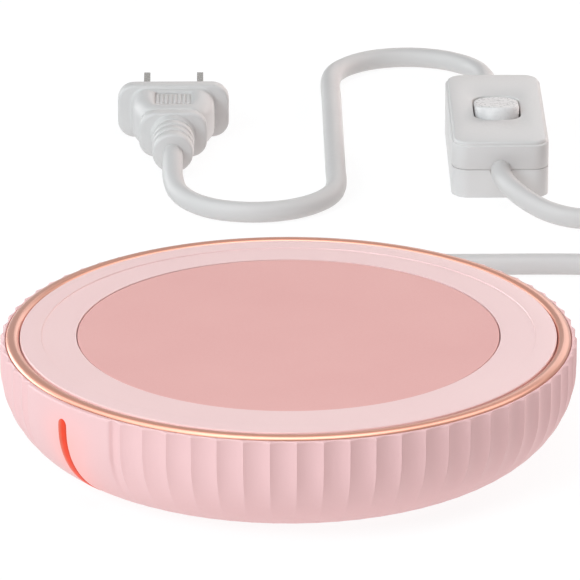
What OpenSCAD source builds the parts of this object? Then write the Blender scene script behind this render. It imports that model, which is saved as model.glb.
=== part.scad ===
// Electric mug warmer: a low fluted bowl with a heated top plate, a glowing light bar
// in its side, and a mains cord with an in-line rocker switch and a two-blade plug.
// Origin: centre of the body on the table. +Z is up and the light bar faces -Y.

/* [Body] */
// Outer diameter over the flute ridges
body_d = 120; // [110:1:144]
// Height of the rim above the table
body_h = 23.5; // [21:0.5:29]
// Straight band of the side, below the rim
rim_band = 5.4; // [4:0.2:6.6]
// Wall of the moulded shell
wall = 2.2; // [1.9:0.1:2.6]
// Gap under the body that the feet leave
foot_gap = 0.8; // [0.5:0.1:1]

/* [Flutes] */
// Number of flutes that a full turn would hold
flute_count = 70; // [50:1:84]
// Depth of a flute at the rim
flute_depth = 0.55; // [0.3:0.05:0.7]
// Radius of the cutter that runs down a flute
flute_cutter = 7; // [5.5:0.5:9]
// How much shallower a flute gets towards the base
flute_fade = 0.45; // [0:0.05:0.5]
// Height of the plain lip above the flutes
flute_lip = 0.4; // [0.3:0.1:1.2]
// Half angle of the plain panel round the light bar
panel_half = 12.5; // [8:0.5:20]

/* [Top] */
// Diameter of the heated plate
plate_d = 87.8; // [80:0.2:92]
// Thickness of the heated plate
plate_t = 2.4; // [2:0.1:3]
// Width of the rose gold trim ring
trim_w = 2.96; // [2.4:0.02:3.2]
// Width of the shell's lip outside the trim ring
lip_w = 1.1; // [0.9:0.1:1.4]
// Width of the deck's raised outer band
deck_band = 4.4; // [3:0.2:6]

/* [Light bar] */
// Width of the light bar
light_w = 2.8; // [1.6:0.2:3]
// Height of the light bar's top above the table
light_top = 20.2; // [18.4:0.2:20.4]
// Angle that the light bar runs down round the bowl
light_sweep = 62; // [45:1:64]

/* [Cord] */
// Diameter of the cord
cord_d = 4.8; // [4:0.2:5.6]
// Turn of the cord's exit from straight behind the light bar
exit_turn = 50.5; // [40:0.5:60]
// Height of the cord's exit above the table
exit_z = 8; // [7.6:0.1:9]
// Distance from the centre to the end of the strain relief
relief_end = 78; // [78:1:80]

/* [Switch] */
// Width of the switch housing
switch_w = 22.5; // [20:0.5:27]
// Length of the switch housing
switch_l = 50; // [44:1:60]
// Height of the switch housing
switch_h = 13.5; // [13:0.1:16]
// Wall of the switch housing
switch_wall = 1.8; // [1.5:0.1:2.2]
// Width of the rocker
rocker_w = 10.4; // [9:0.2:12]
// Half of the rocker's full swing
rocker_tilt = 9; // [6:0.5:10]

/* [Plug] */
// Distance between the blades
blade_gap = 12.7; // [12.7:0.1:12.8]
// Length of a blade outside the plug
blade_l = 17.6; // [16:0.1:18.3]
// Width of the plug's face
plug_w = 26.4; // [24:0.2:30]
// Height of the plug's face
plug_h = 13; // [12:0.5:16]

/* [Hidden] */
$fn = 96;
clear = 0.1;                       // gap round a piece that sits in another
big_r = body_d / 2;

// The side is an arc that runs into a straight band under the rim.
bowl_z = body_h - rim_band;        // height of the arc's centre
bowl_r = bowl_z - foot_gap + 0.7;  // the base plane cuts the arc just above its lowest point
bowl_x = big_r - bowl_r;           // distance of the arc's centre from the axis
cave_r = bowl_r - wall;            // inside radius of the arc

// Levels of the top, whose deck and plate stand a little above the rim.
deck_z = body_h + 0.6;             // raised outer band of the deck
step_z = deck_z - 0.3;             // deck inside the step
plate_z = deck_z;                  // top face of the heated plate
under_z = plate_z - plate_t;       // underside of the heated plate
gasket_t = 0.8;
shelf_z = under_z - gasket_t;      // deck shelf that carries the gasket
shelf_t = 1.4;
rebate_z = body_h - 0.6;           // seat of the trim ring in the shell's rim
bead_h = 0.9;                      // rise of the trim ring's bead over its foot
ledge_z = shelf_z;                 // shell ledge that carries the deck

trim_out = big_r - lip_w;
trim_in = trim_out - trim_w;
deck_r = trim_in - clear;
plate_r = plate_d / 2;
well_r = plate_r + 0.3;            // deck opening round the plate
shelf_r = plate_r - 8.9;           // inner edge of the deck's shelf
boss_r = plate_r - 7.4;            // circle of the case screws
boss_d = 5.6;
skirt_t = 1.5;
ledge_r = deck_r - skirt_t - 0.1;

// Base cover, feet and case screws.
cover_r = plate_r - 0.9;           // flange of the base cover
hole_r = cover_r - 3;              // opening in the shell's base
flange_t = 1.4;
floor_z = foot_gap + 1.8;          // inside face of the base cover
post_z = floor_z + 1.6;            // where the cover's bosses meet the deck's bosses
foot_d = 10;
foot_r = plate_r - 13.9;
screw_d = 2.9;
head_d = 5.6;

// Heating stack, from the plate down.
heater_r = plate_r - 14.9;
heater_t = 1;
pad_t = 1.8;
clamp_t = 1;
shield_t = 0.6;
bar_wall = 1.4;                    // wall of the cord clamp over the cord
heater_z = under_z - heater_t;
pad_z = heater_z - pad_t;
clamp_z = pad_z - clamp_t;
cup_z = clamp_z - shield_t;        // top of the cups that hang the shield on its screws
fuse_d = 4;
clip_hold = fuse_d + 0.2;          // opening of the fuse clip
clip_wall = 0.6;
clip_z = clamp_z - clip_hold - clip_wall - 0.05;  // lowest point of the fuse clip
bar_z = exit_z + cord_d / 2 + bar_wall;           // top of the cord clamp
shield_z = (clip_z + bar_z - shield_t) / 2;       // the shield hangs midway between the two
shield_r = heater_r + 2.5;
stud_r = heater_r + 3.5;           // circle of the clamp screws
stud_d = 4.6;

// Control board on the base cover.
board_z = floor_z + 2;
board_t = 1.6;
board_top = board_z + board_t;
board_size = [2 * (boss_r * cos(45) - 3.81), 28];  // fits between the case screws' bosses
board_y = -8;
board_hole = [board_size.x / 2 - 4, 10];
triac_x = board_size.x / 2 - 12;
terminal_x = 16 - board_size.x / 2;

// Cord entry.
relief_face = big_r - 1.8;         // flat on the shell's gland boss
gland_in = relief_face - 3.2;      // wall of the gland boss that the relief grips
gland_back = gland_in - 6;         // inner end of the gland boss, which shields the relief
neck_d = cord_d + 3.2;
flange_d = neck_d + 3;             // flanges of the strain relief
gland_d = flange_d + 2;
clamp_y = 27;

// Switch: the middle of its base lies at switch_at in the cord's frame.
switch_start = 150;
switch_x = 51;
switch_at = [switch_x, switch_start + switch_l / 2, 0];
split_z = switch_h / 2;            // joint between base and cover, and height of the cord
switch_round = 4;
pivot_z = switch_h - 3.3;          // rocker pivot
pivot_d = 2;
pivot_clear = 0.1;                 // difference of diameters in the rocker's hinge
swing_r = 8.35;                    // radius of the rocker's ends about its pivot
rocker_top = 4.1;                  // from pivot to the middle of the rocker's face
rocker_skirt = 1.8;                // from pivot down to the rocker's lower edge
ear_x = rocker_w / 2 + 0.3;
ear_t = 1.9;
window = [rocker_w + 0.6, 2 * swing_r + 0.4];
window_round = rocker_w / 2 - 1.6;
rocker_round = rocker_w / 2 - 0.2; // rounder than the window, because the ends swing
contact_z = switch_wall + 3.4;     // see-saw pivot
contact_t = 0.6;
contact_ratio = 0.5;               // see-saw turn per turn of the rocker
contact_l = 16;
contact_w = 3.2;
plunger_d = 2.2;
tip_gap = 0.12;                    // plunger over the see-saw in mid swing

// Plug: its cord end lies at plug_at in the cord's frame.
plug_at = [-25, 163, plug_h / 2];
relief_l = 13;
collar_l = 4.9;
grip_l = 12.6;
face_t = 3.8;
plug_l = relief_l + collar_l + grip_l + face_t;
blade_w = 6.35;
blade_t = 1.5;
blade_root = 9;                    // length of a blade inside the plug

// Coil of spare cord: three turns on the table and two on top of them.
coil_at = [108, 120];
coil_r = 26.5;
layer = 4.2;                       // rise from one layer of turns to the next
tie_t = 0.5;
tie_angle = 12;
tie_turn = -60;

// The cord's route, in a frame with +Y straight out of the exit.
route_to_coil = [
    [0, 60, 8], [0, 78, 8], [0.7, 83.4, 7.69], [2.8, 88.5, 6.76], [6.2, 92.8, 5.2],
    [10.5, 96.2, 3.64], [15.6, 98.3, 2.71], [21, 99, 2.4], [34, 99, 2.4], [48, 99, 2.4],
    [62, 99, 2.4], [70, 98.3, 2.4], [78, 96.3, 2.4], [86, 93.4, 2.4], [94, 90.6, 2.4],
    [101, 89.1, 2.4], [108, 88.7, 2.4]];
route_to_switch = [
    [108, 148.9, 6.6], [102.5, 148.2, 6.47], [97.4, 146.2, 6.07], [93, 142.9, 5.42],
    [89.5, 138.7, 4.5], [86, 134.5, 3.58], [81.6, 131.2, 2.92], [76.5, 129.2, 2.53],
    [71, 128.5, 2.4], [65.8, 129.2, 2.64], [61, 131.2, 3.37], [56.9, 134.4, 4.57],
    [53.7, 138.5, 5.78], [51.7, 143.3, 6.51], [51, 148.5, 6.75], [51, 150, 6.75]];
route_to_plug = [
    [51, 200, 6.75], [51, 201.5, 6.75], [51, 205.5, 6.2], [51, 211, 4.7], [51, 217, 3.3], [51, 223, 2.5],
    [50.7, 229, 2.4], [49.4, 234.5, 2.4], [46.6, 239.2, 2.4], [41.5, 243.5, 2.4],
    [35.3, 245.7, 2.4], [28.7, 245.7, 2.4], [22.5, 243.5, 2.4], [17.4, 239.2, 2.4],
    [14.1, 233.5, 2.4], [13, 227, 2.4], [13, 214, 2.4], [13, 201, 2.4], [13, 188, 2.4],
    [13, 175, 2.4], [13, 163, 2.4], [13, 153, 2.4], [11.9, 146.5, 2.4], [8.6, 140.8, 2.4],
    [3.5, 136.5, 2.4], [-2.7, 134.3, 2.4], [-9.3, 134.3, 2.4], [-15.5, 136.5, 2.4],
    [-20.6, 140.8, 2.6], [-23.9, 146.5, 3.3], [-25, 153, 4.8], [-25, 157.5, 6],
    [-25, 161.5, 6.5], [-25, 163, 6.5]];

// ---------------------------------------------------------------- helpers

// Turns a child from the cord's frame into the body's.
module from_exit() { rotate([0, 0, exit_turn]) children(); }

// Places a child that is modelled with +X outwards at the light bar.
module at_light() { rotate([0, 0, -90]) children(); }

module at_switch() { from_exit() translate(switch_at) children(); }

module at_plug() { from_exit() translate(plug_at) children(); }

// Repeats a child at the given angles on a circle.
module around(radius, angles) {
    for (a = angles) rotate([0, 0, a]) translate([radius, 0, 0]) children();
}

// Rectangle with rounded corners, centred.
module soft_rect(size, r) {
    square([size.x - 2 * r, size.y], center = true);
    square([size.x, size.y - 2 * r], center = true);
    for (x = [-1, 1], y = [-1, 1])
        translate([x * (size.x / 2 - r), y * (size.y / 2 - r)]) circle(r = r);
}

// Plate or block with rounded upright edges.
module soft_block(size, r, h) { linear_extrude(h) soft_rect(size, r); }

// Pan-head screw that points up, with its head's seat at z = 0.
module screw(d, head, head_t, length) {
    cylinder(d = d, h = length);
    difference() {
        translate([0, 0, -head_t]) cylinder(d = head, h = head_t);
        for (a = [0, 90])
            rotate([0, 0, a]) translate([-head / 3.4, -0.35, -head_t - 0.1])
                cube([head / 1.7, 0.7, head_t / 2 + 0.1]);
    }
}

function unit(v) = v / norm(v);
function tangent(path, i) =
    unit(path[min(i + 1, len(path) - 1)] - path[max(i - 1, 0)]);
function turned_side(side, along) = unit(side - (side * along) * along);
function first_side(along) =
    turned_side(abs(along.z) < 0.9 ? [0, 0, 1] : [1, 0, 0], along);
// The side vector of every ring, carried along the path without twist.
function sides(path, i = 0, side = undef) =
    let (along = tangent(path, i),
         now = side == undef ? first_side(along) : turned_side(side, along))
    i == len(path) - 1 ? [now] : concat([now], sides(path, i + 1, now));

// Round tube along a path, as one closed solid.
module tube(path, d, facets) {
    side = sides(path);
    n = len(path);
    points = [for (i = [0:n - 1]) let (u = side[i], v = cross(tangent(path, i), u))
              for (k = [0:facets - 1])
              path[i] + d / 2 * (cos(360 * k / facets) * u + sin(360 * k / facets) * v)];
    skin = [for (i = [0:n - 2], k = [0:facets - 1]) let (m = (k + 1) % facets)
            each [[i * facets + k, (i + 1) * facets + m, i * facets + m],
                  [i * facets + k, (i + 1) * facets + k, (i + 1) * facets + m]]];
    start = [for (k = [0:facets - 1]) k];
    end = [for (k = [facets - 1:-1:0]) (n - 1) * facets + k];
    polyhedron(points, concat([start], skin, [end]));
}

// ---------------------------------------------------------------- shell

// Half section of the bowl, grown or shrunk by its arc's radius and its base level.
module bowl_section(arc, base, top) {
    intersection() {
        union() {
            translate([bowl_x, bowl_z]) circle(r = arc);
            square([bowl_x, top]);
            translate([0, bowl_z]) square([bowl_x + arc, top - bowl_z]);
        }
        translate([0, base]) square([big_r + 1, top - base]);
    }
}

// Rim rebate, deck ledge and base rebate are all turned in one section.
module shell_section() {
    difference() {
        union() {
            difference() {
                bowl_section(bowl_r, foot_gap, body_h);
                bowl_section(cave_r, foot_gap + wall, body_h + 1);
            }
            polygon([[big_r - wall + 0.1, ledge_z], [ledge_r, ledge_z], [ledge_r, ledge_z - 0.6],
                     [big_r - wall + 0.1, ledge_z - 3.1]]);
        }
        square([hole_r, body_h]);
        square([cover_r + 0.2, foot_gap + flange_t]);
        translate([0, rebate_z]) square([trim_out + 0.05, 2]);
    }
}

// Section of a flute's cutter, kept just wide enough to meet its neighbours.
module flute_section() {
    wide = 2 * PI * big_r / flute_count + 0.6;
    intersection() {
        translate([bowl_r + flute_cutter - flute_depth, 0]) circle(r = flute_cutter);
        translate([bowl_r - 2, -wide / 2]) square([4, wide]);
    }
}

// One flute: its section runs down the straight band and round the bowl.
module flute() {
    translate([bowl_x, 0, bowl_z - flute_fade]) {
        rotate([90, 0, 0]) rotate_extrude(angle = -76) flute_section();
        linear_extrude(rim_band + flute_fade - flute_lip) flute_section();
    }
}

// Every second flute, so that the cutters of one set stay clear of each other.
module flutes(first) {
    span = 360 - 2 * panel_half;
    count = round(span * flute_count / 360);
    for (i = [first:2:count - 1])
        rotate([0, 0, -90 + panel_half + span * (i + 0.5) / count]) flute();
}

// A strip that follows the bowl, between two distances from the arc's centre.
module side_arc(width, inner, outer, start) {
    translate([bowl_x, 0, bowl_z]) rotate([90, start, 0]) rotate_extrude(angle = start - light_sweep)
        translate([inner, -width / 2]) square([outer - inner, width]);
}

// The same strip with a round-topped straight part above it.
module side_bar(width, inner, outer, top) {
    at_light() {
        side_arc(width, inner, outer, 0);
        translate([bowl_x + inner, -width / 2, bowl_z])
            cube([outer - inner, width, top - width / 2 - bowl_z]);
        translate([bowl_x + inner, 0, top - width / 2]) rotate([0, 90, 0])
            cylinder(d = width, h = outer - inner);
    }
}

// Two grooved posts behind the light bar, which hold the light board.
led_r = big_r - 9.6;
led_size = [1, 10, 10.4];
led_z = bowl_z - 10.6;
module led_posts() {
    at_light() intersection() {
        difference() {
            for (y = [-1, 1])
                translate([led_r - 1, y * 5.3 - 1.1, floor_z]) cube([12, 2.2, led_z + 9 - floor_z]);
            translate([led_r - 0.05, -led_size.y / 2 - clear, led_z])
                cube([led_size.x + 0.1, led_size.y + 2 * clear, 20]);
        }
        rotate_extrude() bowl_section(cave_r + 0.5, foot_gap + wall - 0.5, body_h);
    }
}

module outer_shell() {
    color("#e3bdbc") difference() {
        union() {
            difference() {
                difference() {
                    rotate_extrude() shell_section();
                    flutes(0);
                }
                flutes(1);
            }
            from_exit() translate([0, relief_face, exit_z]) rotate([90, 0, 0])
                cylinder(d = gland_d, h = relief_face - gland_back);
            led_posts();
        }
        from_exit() {
            translate([0, relief_face, exit_z]) rotate([-90, 0, 0])
                cylinder(d = gland_d + 0.6, h = 6);
            translate([0, gland_in - 1, exit_z]) rotate([-90, 0, 0])
                cylinder(d = neck_d + 2 * clear, h = 8);
            translate([0, gland_back - 1, exit_z]) rotate([-90, 0, 0])
                cylinder(d = flange_d + 2 * clear, h = gland_in - gland_back + 1);
        }
        side_bar(light_w + 2 * clear, cave_r - 1.3, bowl_r + 2, light_top + clear);
    }
}

module light_guide() {
    color("#ff5a32") {
        side_bar(light_w, cave_r - 1.2, bowl_r - 0.05, light_top);
        at_light() side_arc(light_w + 3, cave_r - 1.3, cave_r - clear, 3);
    }
}

// ---------------------------------------------------------------- base

corner_angles = [45, 135, 225, 315];

module base_cover() {
    color("#dcb4b3") from_exit() difference() {
        union() {
            translate([0, 0, foot_gap]) cylinder(r = cover_r, h = flange_t);
            translate([0, 0, foot_gap]) cylinder(r = hole_r - 0.2, h = floor_z - foot_gap);
            difference() {
                translate([0, 0, foot_gap]) cylinder(r = hole_r - 0.2, h = floor_z - foot_gap + 1);
                cylinder(r = hole_r - 1.8, h = floor_z + 2);
            }
            around(boss_r, corner_angles) translate([0, 0, foot_gap])
                cylinder(d = boss_d + 1, h = post_z - foot_gap);
            for (x = [-1, 1], y = [-1, 1])
                translate([x * board_hole.x, board_y + y * board_hole.y, foot_gap])
                    cylinder(d = 6, h = board_z - foot_gap);
            translate([-9.5, clamp_y - 3.5, foot_gap]) cube([19, 7, exit_z - foot_gap]);
        }
        around(boss_r, corner_angles) {
            cylinder(d = head_d + 0.4, h = foot_gap + flange_t);
            cylinder(d = screw_d + 0.5, h = 10);
        }
        around(foot_r, [0, 90, 180, 270]) cylinder(d = foot_d + 2 * clear, h = 2 * foot_gap);
        for (x = [-1, 1], y = [-1, 1])
            translate([x * board_hole.x, board_y + y * board_hole.y, floor_z - 0.6])
                cylinder(d = 2.1, h = 10);
        for (x = [-1, 1]) translate([x * 6.5, clamp_y, floor_z]) cylinder(d = 2.6, h = 10);
        translate([0, clamp_y, exit_z]) rotate([90, 0, 0])
            cylinder(d = cord_d + 2 * clear, h = 10, center = true);
    }
}

module rubber_feet() {
    color("#c9c4c2") from_exit() around(foot_r, [0, 90, 180, 270]) rotate_extrude()
        polygon([[0, 0], [foot_d / 2 - 0.5, 0], [foot_d / 2, 0.5], [foot_d / 2, 2 * foot_gap],
                 [0, 2 * foot_gap]]);
}

module case_screws() {
    color("#b8bcc2") from_exit() around(boss_r, corner_angles)
        translate([0, 0, foot_gap + flange_t]) screw(screw_d, head_d, 1.2, 12);
}

// ---------------------------------------------------------------- top

// A low round bead with a tongue that is pinched between the deck and the shell.
module trim_ring() {
    mid = (trim_in + trim_out) / 2;
    half = trim_w / 2 - 0.05;
    color("#e0a890") rotate_extrude() {
        translate([mid, rebate_z + 0.4]) intersection() {
            scale([half, bead_h]) circle(r = 1);
            translate([-half, 0]) square([2 * half, bead_h]);
        }
        translate([mid - half, rebate_z]) square([2 * half, 0.4]);
        translate([trim_in + 0.15, ledge_z + 0.3])
            square([big_r - wall - 0.21 - trim_in - 0.15, rebate_z - ledge_z - 0.3]);
    }
}

module top_deck() {
    step_r = deck_r - deck_band;
    color("#f0d6d6") {
        difference() {
            union() {
                rotate_extrude() polygon([
                    [shelf_r, shelf_z - shelf_t], [well_r + 1.6, shelf_z - shelf_t],
                    [well_r + 1.6, step_z - 1.6], [deck_r - skirt_t, step_z - 1.6],
                    [deck_r - skirt_t, ledge_z], [deck_r, ledge_z], [deck_r, deck_z],
                    [step_r, deck_z], [step_r - 0.3, step_z], [well_r, step_z],
                    [well_r, shelf_z], [shelf_r, shelf_z]]);
                from_exit() around(boss_r, corner_angles) translate([0, 0, post_z])
                    cylinder(d = boss_d, h = shelf_z - shelf_t / 2 - post_z);
            }
            from_exit() around(boss_r, corner_angles) translate([0, 0, post_z - 1])
                cylinder(d = screw_d + clear, h = 12);
        }
    }
}

module plate_gasket() {
    color("#8d8583") translate([0, 0, shelf_z]) difference() {
        cylinder(r = plate_r - 0.1, h = gasket_t);
        translate([0, 0, -1]) cylinder(r = shelf_r + 1, h = gasket_t + 2);
    }
}

stud_angles = [90, 210, 330];

// Aluminium disc with an eased edge and three cast studs for the clamp screws.
module hot_plate() {
    color("#e8b8b4") difference() {
        union() {
            rotate_extrude() polygon([[0, under_z], [plate_r, under_z], [plate_r, plate_z - 0.4],
                                      [plate_r - 0.4, plate_z], [0, plate_z]]);
            from_exit() around(stud_r, stud_angles) translate([0, 0, pad_z + 0.1])
                cylinder(d = stud_d, h = under_z - pad_z);
        }
        from_exit() around(stud_r, stud_angles) translate([0, 0, pad_z - 1])
            cylinder(d = 2.6, h = under_z - pad_z + 1.4);
    }
}

// ---------------------------------------------------------------- heating stack

tab_angle = -41;

module heater_disc() {
    color("#b9a88a") from_exit() translate([0, 0, heater_z]) {
        cylinder(r = heater_r, h = heater_t);
        for (a = [tab_angle, 180 - tab_angle])
            rotate([0, 0, a]) translate([heater_r - 1, -2, 0]) cube([4, 4, heater_t]);
    }
}

module insulation_pad() {
    color("#e9e4d6") from_exit() translate([0, 0, pad_z]) cylinder(r = heater_r - 0.5, h = pad_t);
}

module clamp_plate() {
    color("#a9adb2") from_exit() translate([0, 0, clamp_z]) difference() {
        union() {
            cylinder(r = heater_r - 0.5, h = clamp_t);
            around(stud_r, stud_angles) cylinder(d = 7, h = clamp_t);
            around(stud_r - 4, stud_angles) translate([-2, -3.5, 0]) cube([6, 7, clamp_t]);
        }
        around(stud_r, stud_angles) translate([0, 0, -1]) cylinder(d = 2.9, h = clamp_t + 2);
    }
}

module clamp_screws() {
    color("#b8bcc2") from_exit() around(stud_r, stud_angles) translate([0, 0, cup_z])
        screw(2.5, 4.6, 1.4, under_z - cup_z + 0.2);
}

// Aluminium dish whose three cups reach up to the clamp plate round the screw heads.
module heat_shield() {
    cup_d = 8;
    color("#c3c6ca") from_exit() difference() {
        union() {
            translate([0, 0, shield_z]) cylinder(r = shield_r, h = shield_t);
            translate([0, 0, shield_z]) difference() {
                cylinder(r = shield_r, h = 2);
                translate([0, 0, -1]) cylinder(r = shield_r - shield_t, h = 4);
            }
            around(stud_r, stud_angles) translate([0, 0, shield_z])
                cylinder(d = cup_d, h = clamp_z - shield_z);
        }
        around(stud_r, stud_angles) {
            translate([0, 0, shield_z - 1]) cylinder(d = cup_d - 2 * shield_t, h = cup_z - shield_z + 1);
            cylinder(d = 2.9, h = clamp_z + 1);
        }
    }
}

module thermostat() {
    color("#3a3a3c") from_exit() translate([8, 12, clamp_z]) rotate([180, 0, 0]) {
        cylinder(d = 12, h = 1);
        cylinder(d = 10.4, h = 4.2);
        for (x = [-1, 1]) translate([x * 6.5 - 1.5, -1.5, 2.2]) cube([3, 3, 0.6]);
    }
}

fuse_at = [-9, -6];

module thermal_fuse() {
    color("#d8cfc0") from_exit() translate([fuse_at.x, fuse_at.y, clamp_z - fuse_d / 2 - 0.1])
        rotate([0, 90, 0]) {
            cylinder(d = fuse_d, h = 12, center = true);
            cylinder(d = 1, h = 22, center = true);
        }
}

// Strap that holds the fuse against the clamp plate.
module fuse_clip() {
    half = clip_hold / 2;
    color("#9da1a6") from_exit() translate([fuse_at.x, fuse_at.y, clamp_z]) difference() {
        union() {
            translate([-2.5, -half - 3.5, -clip_wall]) cube([5, clip_hold + 7, clip_wall]);
            translate([-2.5, -half - clip_wall, -half - 0.05])
                cube([5, clip_hold + 2 * clip_wall, half + 0.05]);
            translate([0, 0, -half - 0.05]) rotate([0, 90, 0])
                cylinder(d = clip_hold + 2 * clip_wall, h = 5, center = true);
        }
        translate([-3, -half, -half - 0.05]) cube([6, clip_hold, clip_hold]);
        translate([0, 0, -half - 0.05]) rotate([0, 90, 0])
            cylinder(d = clip_hold, h = 6, center = true);
    }
}

// ---------------------------------------------------------------- light board

module led_board() {
    color("#2f6b46") at_light() translate([led_r, -led_size.y / 2, led_z]) cube(led_size);
}

module leds() {
    color("#fff2dc") at_light() for (i = [0:2])
        translate([led_r + led_size.x, -1.4, led_z + 1 + 3.2 * i]) cube([1.4, 2.8, 2]);
}

// ---------------------------------------------------------------- control board

module on_board(x, y) { from_exit() translate([x, board_y + y, board_top]) children(); }

module control_board() {
    color("#2f6b46") from_exit() translate([0, board_y, board_z]) difference() {
        soft_block(board_size, 2, board_t);
        for (x = [-1, 1], y = [-1, 1])
            translate([x * board_hole.x, y * board_hole.y, -1]) cylinder(d = 2.6, h = board_t + 2);
    }
}

module board_capacitor() {
    color("#c9a227") on_board(-8, -5) translate([-6.5, -3, 0]) {
        translate([0, 0, 0.3]) cube([13, 6, 5]);
        for (x = [1.5, 11.5], y = [1, 5]) translate([x, y, 0]) cylinder(d = 0.9, h = 0.4);
    }
}

module board_triac() {
    color("#1f2023") on_board(triac_x, -6) {
        translate([-5, -4.5, 0]) cube([10, 9, 1.3]);
        translate([-5, -4.5, 1.3]) cube([10, 5, 3]);
        for (x = [-2.5, 0, 2.5]) translate([x - 0.4, -8, 0]) cube([0.8, 3.5, 0.6]);
    }
}

module board_chip() {
    color("#26272b") on_board(8, 4.5) {
        translate([-2.5, -2, 0.2]) cube([5, 4, 1.5]);
        for (x = [-1.9, -0.6, 0.6, 1.9], y = [-2.9, 2])
            translate([x - 0.2, y, 0]) cube([0.4, 0.9, 0.7]);
    }
}

// Two-way terminal: funnels face the cord, and screws are reached from above.
module terminal_block() {
    color("#3f7f5a") on_board(terminal_x, 9) difference() {
        translate([-6, -3.5, 0]) cube([12, 7, 5]);
        for (x = [-3, 3]) {
            translate([x, 4, 2.4]) rotate([90, 0, 0]) cylinder(d = 2, h = 4);
            translate([x, 0, 1.5]) cylinder(d = 2.6, h = 5);
        }
    }
}

module board_screws() {
    color("#b8bcc2") for (x = [-1, 1], y = [-1, 1])
        on_board(x * board_hole.x, y * board_hole.y) rotate([180, 0, 0])
            screw(2, 3.8, 1.2, board_t + 2.4);
}

// Sleeved wires from the board, past the shield's edge, to the heater's tabs.
module heater_leads() {
    edge = shield_r + 1.4;
    up = [edge * cos(tab_angle), edge * sin(tab_angle)];
    foot = board_top + 0.7;
    start = board_size.x / 2 - 2.5;
    for (side = [-1, 1])
        color("#f4f1ea") from_exit() tube([
            [side * start, board_y - 1, board_top + 0.05], [side * start, board_y - 1, foot + 1],
            [side * up.x, up.y, foot + 5], [side * up.x, up.y, clamp_z],
            [side * (up.x - 1), up.y + 1, heater_z - 0.5]], 1.4, 6);
}

// Two thin wires from the control board, which turns with the cord, to the light board.
module led_leads() {
    pad = [1.6 - board_size.x / 2, board_y + 2.9];
    end = [pad.x * cos(exit_turn) - pad.y * sin(exit_turn),
           pad.x * sin(exit_turn) + pad.y * cos(exit_turn)];
    for (side = [-1, 1])
        color("#c8453a") tube([
            [side * 1.2, -led_r + 0.55, led_z + 4 + side], [side * 1.2, -led_r + 6, led_z + 2],
            [-6 + side * 1.2, -led_r + 18, board_top + 2],
            [end.x + side * 1.2, end.y, board_top + 1.6],
            [end.x + side * 1.2, end.y + 0.6, board_top + 0.05]],
            0.9, 6);
}

// ---------------------------------------------------------------- cord entry

// Grooved cone with a neck and an inner flange that grip the shell's gland boss.
module strain_relief() {
    cone_l = relief_end - relief_face - 1.8;
    color("#cfcfd0") from_exit() translate([0, gland_in - 2, exit_z]) rotate([-90, 0, 0])
        difference() {
            union() {
                cylinder(d = flange_d, h = 2 - 0.05);
                cylinder(d = neck_d, h = relief_face - gland_in + 3);
                translate([0, 0, relief_face - gland_in + 2.05]) cylinder(d = flange_d, h = 1.75);
                translate([0, 0, relief_face - gland_in + 3.8])
                    cylinder(d1 = cord_d + 4.6, d2 = cord_d + 2, h = cone_l);
            }
            translate([0, 0, -1]) cylinder(d = cord_d + 2 * clear, h = 60);
            for (i = [0:4]) translate([0, 0, relief_face - gland_in + 5.4 + 3 * i]) difference() {
                cylinder(d = 12, h = 1.2);
                translate([0, 0, -1]) cylinder(d = cord_d + 2.8 - 0.3 * i, h = 4);
            }
        }
}

// End of the cord inside the body, with its two cores run to the terminal block.
module inner_cord() {
    color("#cfcfd0") from_exit() translate([0, clamp_y - 6, exit_z]) rotate([-90, 0, 0])
        cylinder(d = cord_d, h = 60 - clamp_y + 6);
    for (side = [-1, 1])
        color(side < 0 ? "#2b2b2e" : "#f2f2f2") from_exit() tube([
            [side * 1.2, clamp_y - 5.5, exit_z], [side * 1.3, clamp_y - 9, exit_z],
            [terminal_x + 2 + side * 2, 10, board_top + 2.6],
            [terminal_x + side * 3, 6.5, board_top + 2.4],
            [terminal_x + side * 3, 2.5, board_top + 2.4]], 1.5, 6);
}

// Bar that presses the cord into its saddle on the base cover.
module cord_clamp() {
    color("#e6e2de") from_exit() translate([0, clamp_y, exit_z]) difference() {
        union() {
            translate([-9, -2.5, 0.05]) cube([18, 5, 1.6]);
            rotate([90, 0, 0]) cylinder(d = cord_d + 2 * bar_wall, h = 5, center = true);
        }
        rotate([90, 0, 0]) cylinder(d = cord_d + 2 * clear, h = 6, center = true);
        translate([-10, -4, -10]) cube([20, 8, 10.05]);
        for (x = [-1, 1]) translate([x * 6.5, 0, -1]) cylinder(d = 2.8, h = 5);
    }
}

module clamp_bar_screws() {
    color("#b8bcc2") from_exit() for (x = [-1, 1])
        translate([x * 6.5, clamp_y, exit_z + 1.65]) rotate([180, 0, 0]) screw(2.5, 4.4, 1.3, 5.6);
}

// ---------------------------------------------------------------- loose cord

module cord_to_coil() { color("#d2d2d3") from_exit() tube(route_to_coil, cord_d, 8); }

module cord_to_switch() { color("#d2d2d3") from_exit() tube(route_to_switch, cord_d, 8); }

module cord_to_plug() { color("#d2d2d3") from_exit() tube(route_to_plug, cord_d, 8); }

// Outline of the coil's turns: three side by side, and two in the grooves on top.
module coil_section(grow) {
    half = 1.5 * cord_d + grow;
    low = cord_d / 2;
    translate([-half, 0.4 - grow]) square([2 * half, low + 0.8 + 2 * grow]);
    translate([-half + 0.8, -grow]) square([2 * half - 1.6, cord_d + 2 * grow]);
    translate([-half + 2.2, low]) square([2 * half - 4.4, layer + grow]);
    translate([-half + 3.2, low]) square([2 * half - 6.4, layer + low + grow]);
}

module cord_coil() {
    color("#d2d2d3") from_exit() translate([coil_at.x, coil_at.y, 0]) difference() {
        rotate_extrude() translate([coil_r, 0]) coil_section(0);
        rotate([0, 0, tie_turn - 1]) rotate_extrude(angle = tie_angle + 2)
            translate([coil_r - 12, -1]) square([24, 1.02 + tie_t]);
    }
}

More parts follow.
